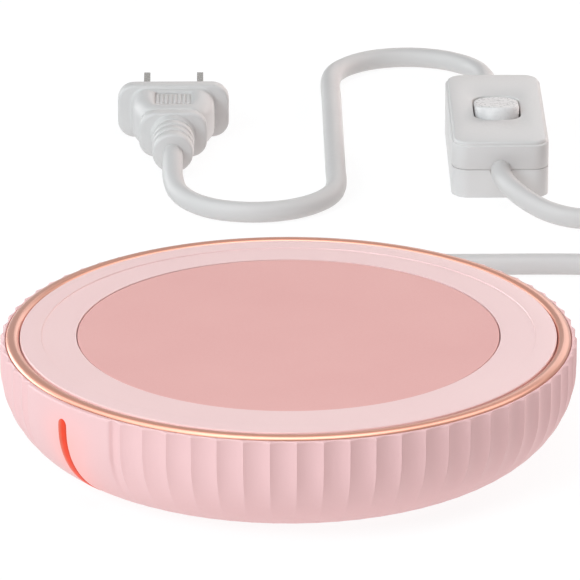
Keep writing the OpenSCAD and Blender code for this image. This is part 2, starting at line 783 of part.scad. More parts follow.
// Wrap that holds the turns together.
module coil_tie() {
    color("#f0f0ee") from_exit() translate([coil_at.x, coil_at.y, 0])
        rotate([0, 0, tie_turn]) rotate_extrude(angle = tie_angle) difference() {
            intersection() {
                translate([coil_r, 0]) coil_section(1);
                square([2 * coil_r, 2 * coil_r]);
            }
            intersection() {
                translate([coil_r, 0]) coil_section(0.1);
                translate([0, tie_t]) square([2 * coil_r, 2 * coil_r]);
            }
        }
}

// ---------------------------------------------------------------- switch

switch_in = [switch_w - 2 * switch_wall, switch_l - 2 * switch_wall];
post_y = switch_l / 2 - 8.5;
post_x = switch_w / 2 - 4.6;

// Cradles, posts and bores that both halves share, between two heights.
module switch_holds(low, high) {
    for (y = [-1, 1]) translate([-4.2, y * (switch_l / 2 - 7) - 1, low]) cube([8.4, 2, high - low]);
    for (s = [-1, 1]) translate([s * post_x, s * post_y, low]) cylinder(d = 4.6, h = high - low);
}

module cord_bore() {
    translate([0, 0, split_z]) rotate([90, 0, 0])
        cylinder(d = cord_d + 2 * clear, h = switch_l + 10, center = true);
}

module switch_base() {
    color("#d4d4d5") at_switch() difference() {
        union() {
            difference() {
                soft_block([switch_w, switch_l], switch_round, split_z);
                translate([0, 0, switch_wall])
                    soft_block(switch_in, switch_round - switch_wall, split_z);
            }
            intersection() {
                switch_holds(switch_wall - 0.1, split_z);
                soft_block([switch_w, switch_l], switch_round, split_z);
            }
        }
        difference() {
            cord_bore();
            translate([0, 0, split_z]) cube([2 * switch_w, switch_l - 18, switch_h], center = true);
        }
        for (s = [-1, 1]) translate([s * post_x, s * post_y, -1]) {
            cylinder(d = 2.5, h = switch_h);
            cylinder(d = 4.6, h = 2.4);
        }
    }
}

// The cover's face stands on a narrow step, and two ears hang beside the window.
module switch_cover() {
    color("#d4d4d5") at_switch() difference() {
        union() {
            difference() {
                union() {
                    translate([0, 0, split_z]) soft_block([switch_w, switch_l], switch_round,
                                                          switch_h - split_z - 0.9);
                    translate([0, 0, split_z]) soft_block([switch_w - 0.9, switch_l - 0.9],
                                                          switch_round - 0.4, switch_h - split_z);
                }
                translate([0, 0, split_z - 1]) soft_block(switch_in, switch_round - switch_wall,
                                                          switch_h - split_z - switch_wall + 1);
            }
            intersection() {
                switch_holds(split_z, switch_h - switch_wall + 0.1);
                translate([0, 0, split_z]) soft_block([switch_w, switch_l], switch_round,
                                                      switch_h - split_z - 1);
            }
            for (x = [-1, 1]) translate([x * (ear_x + ear_t / 2), 0, pivot_z]) {
                rotate([0, 90, 0]) cylinder(d = 5, h = ear_t, center = true);
                translate([-ear_t / 2, -2.5, 0])
                    cube([ear_t, 5, switch_h - switch_wall - pivot_z + 0.1]);
            }
        }
        translate([0, 0, switch_h - 3]) soft_block(window, window_round, 6);
        translate([0, 0, pivot_z]) rotate([0, 90, 0])
            cylinder(d = pivot_d + pivot_clear, h = 2 * (ear_x + ear_t) + 1, center = true);
        difference() {
            cord_bore();
            translate([0, 0, split_z]) cube([2 * switch_w, switch_l - 18, switch_h], center = true);
        }
        for (s = [-1, 1]) translate([s * post_x, s * post_y, split_z - 1]) cylinder(d = 2.1, h = 5.4);
    }
}

// Tilts a child of the rocker to its rest position about the pivot.
module rocked() {
    at_switch() translate([0, 0, pivot_z]) rotate([-rocker_tilt, 0, 0]) children();
}

// Ends are arcs about the pivot, so the rocker keeps its gap as it swings.
module switch_rocker() {
    dish = 46;
    color("#dededf") rocked() {
        difference() {
            intersection() {
                translate([0, 0, -rocker_skirt])
                    soft_block([rocker_w, 2 * swing_r], rocker_round, rocker_skirt + rocker_top + 1);
                rotate([0, 90, 0]) cylinder(r = swing_r, h = rocker_w + 2, center = true);
            }
            translate([0, 0, rocker_top + dish]) rotate([0, 90, 0])
                cylinder(r = dish, h = rocker_w + 2, center = true);
            difference() {
                translate([0, 0, -rocker_skirt - 1])
                    soft_block([rocker_w - 2.4, 2 * swing_r - 4], 3, rocker_skirt + 3.4);
                translate([0, 0, -rocker_skirt - 2]) cylinder(d = plunger_d + 2.2, h = 8);
            }
            translate([0, 0, -rocker_skirt - 1]) cylinder(d = plunger_d + 0.2, h = rocker_skirt + 3.6);
        }
        for (x = [-1, 1]) translate([x * (rocker_w / 2 + 0.9), 0, 0]) rotate([0, 90, 0])
            cylinder(d = pivot_d, h = 2.2, center = true);
    }
}

plunger_l = 4.2;
tip_z = contact_z + contact_t / 2 + tip_gap - pivot_z;

module rocker_plunger() {
    color("#c9b27a") rocked() translate([0, 0, tip_z + plunger_d / 2]) {
        sphere(d = plunger_d, $fn = 48);
        cylinder(d = plunger_d, h = plunger_l - plunger_d / 2);
    }
}

module rocker_spring() {
    turns = 4;
    low = tip_z + plunger_l + 0.2;
    rise = 2.4 - low;
    color("#b8bcc2") rocked() tube([for (i = [0:10 * turns])
        [0.8 * cos(36 * i), 0.8 * sin(36 * i), low + rise * i / (10 * turns)]], 0.36, 6);
}

// Tilts a child of the see-saw to its rest position about its knife edge.
module see_sawed() {
    at_switch() translate([0, 0, contact_z]) rotate([rocker_tilt * contact_ratio, 0, 0]) children();
}

module see_saw_contact() {
    color("#c99a4b") see_sawed() {
        difference() {
            cube([contact_w, contact_l, contact_t], center = true);
            translate([-contact_w, 0, -contact_t / 2]) rotate([0, 90, 0])
                cylinder(r = 0.25, h = 2 * contact_w);
        }
        translate([0, -contact_l / 2 + 1.5, -contact_t / 2 - 0.4]) cylinder(d = 2.4, h = 0.5);
    }
}

// Brass fork whose knife edges carry the see-saw, with a tail for one cut core.
module pivot_terminal() {
    low = switch_wall + 0.05;
    color("#c99a4b") at_switch() difference() {
        union() {
            translate([-2.5, -2, low]) cube([5, 15.5, 0.6]);
            translate([-2.5, 10.5, low]) cube([5, 3, 2.2]);
        }
        translate([0, 12, low + 0.6]) cylinder(d = 1.9, h = 3);
    }
    color("#c99a4b") at_switch()
        translate([-contact_w / 2, 0, low + 0.3]) rotate([90, 0, 90]) linear_extrude(contact_w)
            polygon([[-1.5, 0], [1.5, 0], [0.15, contact_z - contact_t / 2 - low - 0.2],
                     [-0.15, contact_z - contact_t / 2 - low - 0.2]]);
}

contact_low = contact_z - contact_t / 2 - 0.4
              - (contact_l / 2 - 1.5) * sin(rocker_tilt * contact_ratio) - 0.12;

// Brass strip with the fixed contact that the see-saw closes on.
module end_terminal() {
    low = switch_wall + 0.05;
    color("#c99a4b") at_switch() {
        translate([-2.5, -13.5, low]) cube([5, 9, 0.6]);
        translate([0, -contact_l / 2 + 1.5, low]) cylinder(d = 2.6, h = contact_low - low);
        difference() {
            translate([-2.5, -13.5, low]) cube([5, 3, 2.2]);
            translate([0, -12, low + 0.6]) cylinder(d = 1.9, h = 3);
        }
    }
}

module terminal_screws() {
    color("#b8bcc2") at_switch() for (y = [-12, 12])
        translate([0, y, switch_wall + 2.25]) rotate([180, 0, 0]) screw(1.8, 3, 0.8, 1.4);
}

module switch_screws() {
    color("#b8bcc2") at_switch() for (s = [-1, 1])
        translate([s * post_x, s * post_y, 1.4]) screw(2, 4.2, 1.2, 7.6);
}

// Jacket ends in their cradles, with one core cut to the terminals and one run through.
module switch_cord_ends() {
    jacket = 9;
    for (side = [-1, 1]) {
        color("#cfcfd0") at_switch() translate([0, side * (switch_l / 2 - jacket / 2), split_z])
            rotate([90, 0, 0]) cylinder(d = cord_d, h = jacket, center = true);
        color("#2b2b2e") at_switch() tube([
            [-1.1, side * (switch_l / 2 - jacket + 0.5), split_z],
            [-1.1, side * (switch_l / 2 - jacket - 1.2), split_z - 1.6],
            [0, side * 15, switch_wall + 1.2], [0, side * 13.6, switch_wall + 1.2]], 1.4, 6);
    }
    edge = switch_w / 2 - switch_wall - 0.9;
    color("#f2f2f2") at_switch() tube([
        [1.1, switch_l / 2 - jacket + 0.5, split_z], [2.4, switch_l / 2 - jacket - 1.5, split_z - 1],
        [edge - 1, 10, split_z - 2.5], [edge, 6, 3.4], [edge, 0, 3.2], [edge, -6, 3.4],
        [edge - 1, -10, split_z - 2.5], [2.4, -switch_l / 2 + jacket + 1.5, split_z - 1],
        [1.1, -switch_l / 2 + jacket - 0.5, split_z]], 1.4, 6);
}

// ---------------------------------------------------------------- plug

// Cross-section block of the plug between two distances along its axis.
module plug_slab(size, r, from, length) {
    translate([0, from, 0]) rotate([-90, 0, 0]) soft_block(size, r, length);
}

// Face flange, waisted grip with finger pads, collar and grooved relief in one moulding.
module plug_body() {
    grip_from = relief_l + collar_l;
    color("#dadadb") at_plug() difference() {
        union() {
            plug_slab([plug_w, plug_h], 4, grip_from + grip_l + 0.5, face_t - 1.1);
            plug_slab([plug_w - 1.2, plug_h - 0.8], 3.6, grip_from + grip_l, face_t);
            hull() {
                plug_slab([19.4, plug_h - 1.6], 3.5, grip_from + grip_l - 6, 6, $fn = 32);
                plug_slab([14.6, plug_h - 3], 3.5, grip_from, 0.5, $fn = 32);
            }
            plug_slab([16, plug_h - 2], 4, relief_l, collar_l - 1.4);
            plug_slab([14.4, plug_h - 3.4], 4, relief_l, collar_l + 0.5);
            translate([0, relief_l + 0.5, 0]) rotate([90, 0, 0])
                cylinder(d1 = cord_d + 5.6, d2 = cord_d + 4.8, h = relief_l + 0.5);
        }
        for (i = [0:2]) translate([0, 3.2 + 3.3 * i, 0]) rotate([-90, 0, 0]) difference() {
            translate([-8, -8, 0]) cube([16, 16, 0.9]);
            cylinder(d = cord_d + 2.8, h = 2, center = true);
        }
        for (z = [-1, 1]) translate([0, grip_from + 6.6, z * (plug_h / 2 - 0.3)]) difference() {
            cube([9, 8.4, 2.2], center = true);
            for (i = [0:6]) translate([(i - 3) * 1.2, 0, -z * 0.95])
                cube([0.6, 7, 0.5], center = true);
        }
        for (x = [-1, 1])
            translate([x * blade_gap / 2 - blade_t / 2 - 0.05, plug_l - blade_root, -blade_w / 2 - 0.05])
                cube([blade_t + 0.1, blade_root + 1, blade_w + 0.1]);
        translate([-8.5, plug_l - 6.2, -3.6]) cube([17, 3, 7.2]);
    }
}

// Blade with chamfered tip and the usual hole near it.
module blade() {
    difference() {
        rotate([0, 90, 0]) linear_extrude(blade_t, center = true)
            polygon([[-blade_w / 2, 0], [blade_w / 2, 0],
                     [blade_w / 2, blade_root + blade_l - 1.6],
                     [blade_w / 2 - 1.6, blade_root + blade_l],
                     [-blade_w / 2 + 1.6, blade_root + blade_l],
                     [-blade_w / 2, blade_root + blade_l - 1.6]]);
        translate([0, blade_root + blade_l - 4.4, 0]) rotate([0, 90, 0])
            cylinder(d = 3.1, h = 4, center = true);
    }
}

module plug_blades() {
    color("#c8c9cc") at_plug() for (x = [-1, 1])
        translate([x * blade_gap / 2, plug_l - blade_root, 0]) blade();
}

// Stiff bridge inside the moulding that keeps the blades apart.
module plug_core() {
    color("#e8e8e6") at_plug() difference() {
        translate([-8.4, plug_l - 6.1, -3.5]) cube([16.8, 2.8, 7]);
        for (x = [-1, 1])
            translate([x * blade_gap / 2 - blade_t / 2 - 0.05, plug_l - 7, -blade_w / 2 - 0.05])
                cube([blade_t + 0.1, 5, blade_w + 0.1]);
    }
}

// ---------------------------------------------------------------- nodes

outer_shell();
base_cover();
rubber_feet();
case_screws();
trim_ring();
top_deck();
plate_gasket();
hot_plate();
heater_disc();
insulation_pad();
clamp_plate();
clamp_screws();
heat_shield();
thermostat();
thermal_fuse();
fuse_clip();
light_guide();
led_board();
leds();
control_board();
board_capacitor();
board_triac();
board_chip();
terminal_block();
board_screws();
heater_leads();
led_leads();
strain_relief();
inner_cord();
cord_clamp();
clamp_bar_screws();
cord_to_coil();
cord_coil();
coil_tie();
cord_to_switch();
switch_base();
switch_cover();
switch_rocker();
rocker_plunger();
rocker_spring();
see_saw_contact();
pivot_terminal();
end_terminal();
terminal_screws();
switch_screws();
switch_cord_ends();
cord_to_plug();
plug_body();
plug_blades();
plug_core();
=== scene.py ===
"""Electric mug warmer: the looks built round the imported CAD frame.

Everything is in metres in the part's own frame: the table is z = 0, the light bar faces -Y
and the cord leaves on the far side, turned EXIT_TURN from straight behind the light bar.
"""

import logging
import math
from abc import ABC, abstractmethod
from dataclasses import dataclass
from enum import Enum
from functools import cache
from typing import Callable, ClassVar, Iterable, Sequence

import bmesh
import bpy
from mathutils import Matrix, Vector


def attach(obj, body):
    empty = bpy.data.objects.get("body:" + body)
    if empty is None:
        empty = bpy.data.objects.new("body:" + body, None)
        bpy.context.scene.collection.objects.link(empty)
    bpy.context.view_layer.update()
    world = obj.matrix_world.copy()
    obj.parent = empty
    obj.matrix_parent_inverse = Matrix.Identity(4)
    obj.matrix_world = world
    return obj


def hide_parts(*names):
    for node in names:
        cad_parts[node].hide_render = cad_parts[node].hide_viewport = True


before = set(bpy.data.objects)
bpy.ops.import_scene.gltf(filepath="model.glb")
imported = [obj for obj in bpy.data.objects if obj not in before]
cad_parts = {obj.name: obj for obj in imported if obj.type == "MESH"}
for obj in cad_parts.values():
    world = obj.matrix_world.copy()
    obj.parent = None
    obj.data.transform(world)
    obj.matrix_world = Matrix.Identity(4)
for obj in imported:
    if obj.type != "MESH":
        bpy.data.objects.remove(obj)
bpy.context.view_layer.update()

log = logging.getLogger("mug_warmer")

Material = bpy.types.Material
Node = bpy.types.Node
Object = bpy.types.Object
Socket = bpy.types.NodeSocket
Tree = bpy.types.NodeTree
Point = tuple[float, float]
Corner = tuple[float, float, float]
Loop = list[Vector]

MM = 0.001
EXIT_TURN = math.radians(50.5)
MATH = "ShaderNodeMath"
VECTOR = "ShaderNodeVectorMath"
COMBINE = "ShaderNodeCombineXYZ"
SEPARATE = "ShaderNodeSeparateXYZ"
RANGE = "ShaderNodeMapRange"
MIX = "ShaderNodeMix"
NOISE = "ShaderNodeTexNoise"


class Body(str, Enum):
    """The bodies that new pieces ride on."""

    WARMER = "warmer"
    ROCKER = "rocker"


# ---------------------------------------------------------------- helpers


def linear(code: str) -> tuple[float, float, float, float]:
    """Turn an sRGB hex colour into linear light.

    Args:
        code: A hash and six hex digits.

    Returns:
        Red, green, blue and an alpha of 1.
    """
    parts = [int(code[i : i + 2], 16) / 255 for i in (1, 3, 5)]
    red, green, blue = (c / 12.92 if c <= 0.04045 else ((c + 0.055) / 1.055) ** 2.4 for c in parts)
    return red, green, blue, 1.0


def feed(tree: Tree, node: Node, inputs: dict) -> None:
    """Set or link a node's inputs.

    Args:
        tree: The tree that holds the node.
        node: The node.
        inputs: Socket name or number to a value, to an output socket, or to a node, which
            stands for its first output.
    """
    for key, value in inputs.items():
        if isinstance(value, Node):
            value = value.outputs[0]
        if isinstance(value, Socket):
            tree.links.new(value, node.inputs[key])
        else:
            node.inputs[key].default_value = value


def add(tree: Tree, kind: str, inputs: dict | None = None, **settings: object) -> Node:
    """Add a node with its settings, values and links.

    Args:
        tree: The tree that takes the node.
        kind: The node's type name.
        inputs: What its inputs get, as feed() takes it.
        settings: The node's own properties.

    Returns:
        The new node.
    """
    node = tree.nodes.new(kind)
    for name, value in settings.items():
        setattr(node, name, value)
    feed(tree, node, inputs or {})
    return node


def row(x: float, y: float, z: float) -> Vector:
    """A point of the cord's frame, in mm, as a point of the part's frame, in metres."""
    c, s = math.cos(EXIT_TURN), math.sin(EXIT_TURN)
    return Vector((x * c - y * s, x * s + y * c, z)) * MM


def in_mm(x: float, y: float, z: float) -> Vector:
    """A point of the part's frame, in mm, in metres."""
    return Vector((x, y, z)) * MM


def piece(name: str, verts: Sequence[Vector], faces: Iterable[Sequence[int]], material: Material,
          sharp: float = 40.0, fix: bool = True) -> Object:
    """Make a smooth-shaded mesh object at the origin.

    Args:
        name: The piece's name.
        verts: Points in metres.
        faces: Faces as tuples of point numbers.
        material: The piece's material.
        sharp: Angle in degrees past which an edge is drawn sharp.
        fix: Whether to merge doubles and turn the faces outwards.

    Returns:
        The new object.
    """
    mesh = bpy.data.meshes.new(name)
    mesh.from_pydata([tuple(v) for v in verts], [], [tuple(f) for f in faces])
    if fix:
        work = bmesh.new()
        work.from_mesh(mesh)
        bmesh.ops.remove_doubles(work, verts=work.verts, dist=1e-7)
        bmesh.ops.recalc_face_normals(work, faces=work.faces)
        work.to_mesh(mesh)
        work.free()
    shade(mesh, sharp)
    mesh.materials.append(material)
    obj = bpy.data.objects.new(name, mesh)
    bpy.context.scene.collection.objects.link(obj)
    return obj


def shade(mesh: bpy.types.Mesh, sharp: float) -> None:
    """Shade a mesh smooth, save for its sharp edges.

    Args:
        mesh: The mesh.
        sharp: Angle in degrees past which an edge is sharp.
    """
    work = bmesh.new()
    work.from_mesh(mesh)
    limit = math.radians(sharp)
    for face in work.faces:
        face.smooth = True
    for edge in work.edges:
        if len(edge.link_faces) == 2:
            edge.smooth = edge.calc_face_angle() < limit
    work.to_mesh(mesh)
    work.free()


def eased(corners: Sequence[Corner], steps: int, closed: bool = True) -> list[Point]:
    """Round the corners of an outline.

    Args:
        corners: Points as (x, y, radius).
        steps: Segments in each rounded corner.
        closed: Whether the outline closes on itself.

    Returns:
        The outline's points, with each corner replaced by its arc.
    """
    out: list[Point] = []
    n = len(corners)
    for i, (x, y, radius) in enumerate(corners):
        if radius <= 0 or (not closed and i in (0, n - 1)):
            out.append((x, y))
            continue
        here = Vector((x, y))
        before = Vector(corners[i - 1][:2]) - here
        after = Vector(corners[(i + 1) % n][:2]) - here
        half = before.angle(after) / 2
        # A corner may take just under half of a side.
        run = min(radius / math.tan(half), 0.49 * before.length, 0.49 * after.length)
        start, end = here + before.normalized() * run, here + after.normalized() * run
        middle = here + (before.normalized() + after.normalized()).normalized() * run / math.cos(half)
        turn = math.pi - 2 * half
        a, b = start - middle, end - middle
        for k in range(steps + 1):
            t = k / steps
            arm = (a * math.sin((1 - t) * turn) + b * math.sin(t * turn)) / math.sin(turn)
            out.append(tuple(middle + arm))
    return out


def soft_outline(width: float, length: float, radius: float, steps: int = 8) -> list[Point]:
    """Draw a centred rectangle with rounded corners.

    Args:
        width: Its size along the first axis.
        length: Its size along the second.
        radius: The corners' radius, or less where it doesn't fit.
        steps: Segments in each corner.

    Returns:
        The outline, which has the same number of points whatever its size.
    """
    out = []
    radius = max(0.01, min(radius, width / 2 - 0.01, length / 2 - 0.01))
    for quarter, (sx, sy) in enumerate(((1, 1), (-1, 1), (-1, -1), (1, -1))):
        cx, cy = sx * (width / 2 - radius), sy * (length / 2 - radius)
        for k in range(steps + 1):
            a = math.pi / 2 * (quarter + k / steps)
            out.append((cx + radius * math.cos(a), cy + radius * math.sin(a)))
    return out


def turned(name: str, outline: Sequence[Point], material: Material, sides: int = 360,
           place: Callable[[float, float, float], Vector] = in_mm, sharp: float = 40.0) -> Object:
    """Turn an outline round its axis into a closed solid.

    Args:
        name: The piece's name.
        outline: Points as (radius, height) in mm, closed, or open with both ends on the axis.
        material: The piece's material.
        sides: Segments round the axis.
        place: Function from (x, y, z) in mm about the axis to a point in metres.
        sharp: Angle in degrees past which an edge is drawn sharp.

    Returns:
        The new object.
    """
    verts, faces = [], []
    n = len(outline)
    open_ended = outline[0][0] == 0 and outline[-1][0] == 0
    for k in range(sides):
        a = 2 * math.pi * k / sides
        m = (k + 1) % sides
        verts += [place(r * math.cos(a), r * math.sin(a), z) for r, z in outline]
        for i in range(n - 1 if open_ended else n):
            j = (i + 1) % n
            face = [k * n + i, m * n + i, m * n + j, k * n + j]
            if outline[i][0] == 0:
                face.pop(1)
            elif outline[j][0] == 0:
                face.pop(2)
            faces.append(face)
    return piece(name, verts, faces, material, sharp)


def stacked(name: str, loops: Sequence[Loop], material: Material, ring: bool = False,
            sharp: float = 40.0) -> Object:
    """Join loops of equal count into a closed solid.

    Args:
        name: The piece's name.
        loops: The loops in order, as points in metres.
        material: The piece's material.
        ring: Whether the last loop joins the first, instead of both being capped.
        sharp: Angle in degrees past which an edge is drawn sharp.

    Returns:
        The new object.
    """
    n = len(loops[0])
    verts = [v for loop in loops for v in loop]
    faces = []
    for i in range(len(loops) if ring else len(loops) - 1):
        j = (i + 1) % len(loops)
        faces += [(i * n + k, i * n + (k + 1) % n, j * n + (k + 1) % n, j * n + k) for k in range(n)]
    if not ring:
        faces += [range(n - 1, -1, -1), range((len(loops) - 1) * n, len(loops) * n)]
    return piece(name, verts, faces, material, sharp)


def settle(obj: Object, body: Body, slot: str, *nodes: str) -> Object:
    """Let a piece ride on its body and hide the CAD nodes that it stands for.

    Args:
        obj: The piece.
        body: The body that it moves with.
        slot: The material slot's name; not used.
        nodes: CAD nodes that it stands for.

    Returns:
        The same piece.
    """
    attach(obj, body.value)
    if nodes:
        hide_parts(*nodes)
    log.info("%s: %d faces on %s", obj.name, len(obj.data.polygons), body.value)
    return obj


# ---------------------------------------------------------------- finishes

# Nearly all of a noise lies between these two values.
NOISE_RANGE = (0.3, 0.7)
# The colour of a moulding drifts over about 22 mm.
CLOUDS_PER_METRE = 45.0
COAT_ROUGHNESS = 0.2


def start_material(name: str) -> tuple[Material, Tree, Node]:
    """Start a material.

    Args:
        name: The material's name.

    Returns:
        The material, its tree and its shader.
    """
    made = bpy.data.materials.new(name)
    made.use_nodes = True
    return made, made.node_tree, made.node_tree.nodes["Principled BSDF"]


@dataclass(frozen=True)
class Finish(ABC):
    """A real surface: two tints, a gloss, and a grain of a real size that breaks up its shine."""

    name: str
    colour: str
    shade: str
    roughness: float
    grain_mm: float
    depth_mm: float
    coat: float = 0.0
    metallic: ClassVar[float] = 0.0

    @abstractmethod
    def patterns(self, tree: Tree, place: Socket) -> tuple[Node, Node]:
        """Add the patterns of the surface.

        Args:
            tree: The material's tree.
            place: The object coordinates.

        Returns:
            What carries the colour, and what carries the grain.
        """

    @abstractmethod
    def gloss(self) -> Point:
        """The least and the most roughness."""

    @cache
    def material(self) -> Material:
        """Build the material, once for every piece that has it.

        Returns:
            A material with uneven colour and gloss, and fine relief.
        """
        made, tree, shader = start_material(self.name)
        clouds, grain = self.patterns(tree, add(tree, "ShaderNodeTexCoord").outputs["Object"])
        low, high = NOISE_RANGE
        glossiest, dullest = self.gloss()
        mixed = add(tree, MIX, {0: clouds, 6: linear(self.shade), 7: linear(self.colour)},
                    data_type="RGBA")
        gloss = add(tree, RANGE, {0: grain, 1: low, 2: high, 3: glossiest, 4: dullest})
        relief = {"Height": grain, "Strength": 1.0, "Distance": self.depth_mm * MM}
        bump = add(tree, "ShaderNodeBump", relief)
        feed(tree, shader, {"Base Color": mixed.outputs[2], "Roughness": gloss, "Normal": bump,
                            "Metallic": self.metallic, "Coat Weight": self.coat,
                            "Coat Roughness": COAT_ROUGHNESS})
        return made


@dataclass(frozen=True)
class Plastic(Finish):
    """A moulded plastic: its colour comes slightly uneven, and its skin copies the mould's grain."""

    def patterns(self, tree: Tree, place: Socket) -> tuple[Node, Node]:
        """Slow clouds for the colour, and the mould's grain."""
        grain = add(tree, NOISE, {"Vector": place, "Scale": 1000 / self.grain_mm, "Detail": 1.0})
        return add(tree, NOISE, {"Vector": place, "Scale": CLOUDS_PER_METRE, "Detail": 2.0}), grain

    def gloss(self) -> Point:
        """The least and the most roughness."""
        return self.roughness - 0.04, self.roughness + 0.06


@dataclass(frozen=True)
class Metal(Finish):
    """A metal whose tool marks run round the part's axis, or in every direction."""

    turned: bool = False
    metallic: ClassVar[float] = 1.0

    def patterns(self, tree: Tree, place: Socket) -> tuple[Node, Node]:
        """Add the tool marks, which also carry the colour.

        Args:
            tree: The material's tree.
            place: The object coordinates.

        Returns:
            The marks, twice.
        """
        if self.turned:
            flat = add(tree, VECTOR, {0: place, 1: (1.0, 1.0, 0.0)}, operation="MULTIPLY")
            radius = add(tree, VECTOR, {0: flat}, operation="LENGTH").outputs["Value"]
            place = add(tree, COMBINE, {0: radius}).outputs[0]
        marks = add(tree, NOISE, {"Vector": place, "Scale": 1000 / self.grain_mm, "Detail": 2.0})
        return marks, marks

    def gloss(self) -> Point:
        """The least and the most roughness."""
        return self.roughness * 0.8, self.roughness * 1.25


# Moulded polypropylene of the shell: matte, with a faint sheen on the ridges.
SHELL_PP = Plastic("moulded_pink_polypropylene", "#EDC0C0", "#E9BABA", 0.45, 0.6, 0.012)
# Moulded ABS of the deck: a shade paler and smoother than the shell.
DECK_ABS = Plastic("moulded_pale_pink_abs", "#F3CECC", "#EFC8C7", 0.38, 0.5, 0.006, coat=0.15)
# Silicone coating sprayed on the plate: an even satin with a fine, soft grain.
PLATE_COATING = Plastic("sprayed_pink_plate_coating", "#E6ADA8", "#E0A4A0", 0.5, 0.45, 0.03)
# Flexible PVC of the cord: soft satin with slight unevenness.
CORD_PVC = Plastic("extruded_grey_pvc", "#D0CBC9", "#C7C2C1", 0.42, 1.2, 0.01)
# ABS of the switch halves, from a polished mould: a smooth half-gloss.
SWITCH_ABS = Plastic("moulded_grey_abs", "#D7D2D0", "#D1CCCB", 0.35, 0.8, 0.004)
# The rocker's ABS, polished more highly than its housing: the brightest glint on the switch.
ROCKER_ABS = Plastic("polished_grey_abs", "#DFDAD9", "#DBD6D5", 0.28, 0.8, 0.002, coat=0.2)
# PVC moulded over the plug: satin, a little smoother than the cord.
PLUG_PVC = Plastic("overmoulded_grey_pvc", "#D3CECC", "#CBC6C5", 0.4, 0.9, 0.006)
# Nylon strap and clamp: white, with a waxy dullness.
TIE_NYLON = Plastic("white_nylon", "#EDEDEB", "#E6E6E4", 0.5, 1.0, 0.01)
# Silicone rubber of the gasket: dull grey, with no glint.
GASKET = Plastic("silicone_rubber", "#8A8180", "#7C7473", 0.65, 0.5, 0.01)
# Clear silicone of the feet: cloudy and dull.
FOOT_SILICONE = Plastic("clear_silicone", "#C9C4C2", "#BEB8B6", 0.6, 0.6, 0.02)
# Pressed mica sheet: tan and flaky.
MICA = Plastic("pressed_mica", "#B9A88A", "#A08D6C", 0.5, 1.5, 0.02)
# Needled ceramic fibre: cream and woolly.
FIBRE = Plastic("needled_ceramic_fibre", "#E9E4D6", "#D9D2C0", 0.9, 0.8, 0.1)
# Glass epoxy with a green lacquer: shiny and very slightly uneven.
BOARD = Plastic("green_glass_epoxy_board", "#2F6B46", "#285F3D", 0.35, 1.0, 0.004)
# Black resin of moulded components: dull and near black.
DARK_RESIN = Plastic("black_moulding_resin", "#232326", "#1C1C1F", 0.5, 0.4, 0.006)
# Polyester case of the capacitor: smooth and yellow.
YELLOW_FILM = Plastic("yellow_polyester_case", "#C9A227", "#BC951F", 0.35, 0.8, 0.003)
# Polyamide of the terminal block: green and half dull.
GREEN_TERMINAL = Plastic("green_polyamide", "#3F7F5A", "#377351", 0.45, 0.6, 0.005)
# PTFE sleeve of the heater's wires: milky white.
WIRE_SLEEVE = Plastic("white_ptfe_sleeve", "#F0EDE6", "#E6E2DA", 0.45, 0.6, 0.004)
# PVC of the light board's wires: red, with a soft gloss.
RED_WIRE = Plastic("red_pvc_wire", "#C8453A", "#B93C32", 0.4, 0.6, 0.004)
# Clear resin of the LEDs: warm white and glossy.
LED_LENS = Plastic("warm_white_led_resin", "#FFF2DC", "#F6E6CA", 0.3, 0.6, 0.002)
# Rose gold plating, polished on a lathe and lacquered: faint rings under a pale shine.
ROSE_GOLD = Metal("polished_rose_gold_plate", "#E2A48E", "#DC9C87", 0.31, 0.25, 0.0004,
                  coat=0.5, turned=True)
# Nickel on the plug's blades: bright, a little warm.
NICKEL = Metal("nickel_plated_brass", "#C9C7C4", "#BDBAB6", 0.24, 0.6, 0.001)
# Zinc on screws and spring: bluish, half dull.
ZINC = Metal("zinc_plated_steel", "#B8BCC2", "#A9ADB4", 0.35, 0.4, 0.002)
# Stamped brass of the contacts: yellow, with a soft gloss.
BRASS = Metal("stamped_brass", "#C99A4B", "#BB8B3D", 0.3, 0.5, 0.002)
# Pressed steel, bare: grey, with rolling marks.
PRESSED_STEEL = Metal("pressed_steel", "#A9ADB2", "#9A9EA4", 0.38, 0.6, 0.003)
# Pressed aluminium of the heat shield: pale and dull.
PRESSED_ALUMINIUM = Metal("pressed_aluminium", "#C3C6CA", "#B7BABF", 0.4, 0.7, 0.003)


@dataclass(frozen=True)
class Diffuser:
    """A lit bar of diffuser plastic: its glow is painted palest along its left edge and deepest along its
    right, as painted light and painted shade.
    """

    name: str
    base: str
    core: str
    left: str
    right: str
    strength: float
    left_mm: Point
    right_mm: Point
    cloud_mm: float = 2.5
    uneven: float = 0.06
    roughness: float = 0.5
    specular: float = 0.3

    def material(self) -> Material:
        """Build the material.

        Returns:
            A material that glows a little unevenly, as a bar over three separate LEDs does.
        """
        made, tree, shader = start_material(self.name)
        place = add(tree, "ShaderNodeTexCoord").outputs["Object"]
        across = add(tree, SEPARATE, {0: place})
        lit = linear(self.core)
        # The paler left colour is painted light on the left edge; the deeper right colour is painted shade
        # on the right edge.
        for colour, (start, end) in ((self.left, self.left_mm), (self.right, self.right_mm)):
            share = add(tree, RANGE, {0: across, 1: start * MM, 2: end * MM})
            lit = add(tree, MIX, {0: share, 6: lit, 7: linear(colour)}, data_type="RGBA").outputs[2]
        low, high = NOISE_RANGE
        cloud = add(tree, NOISE, {"Vector": place, "Scale": 1000 / self.cloud_mm, "Detail": 1.0})
        power = add(tree, RANGE, {0: cloud, 1: low, 2: high, 3: self.strength * (1 - self.uneven),
                                  4: self.strength * (1 + self.uneven)})
        feed(tree, shader, {"Base Color": linear(self.base), "Roughness": self.roughness,
                            "Specular IOR Level": self.specular, "Emission Color": lit,
                            "Emission Strength": power})
        return made


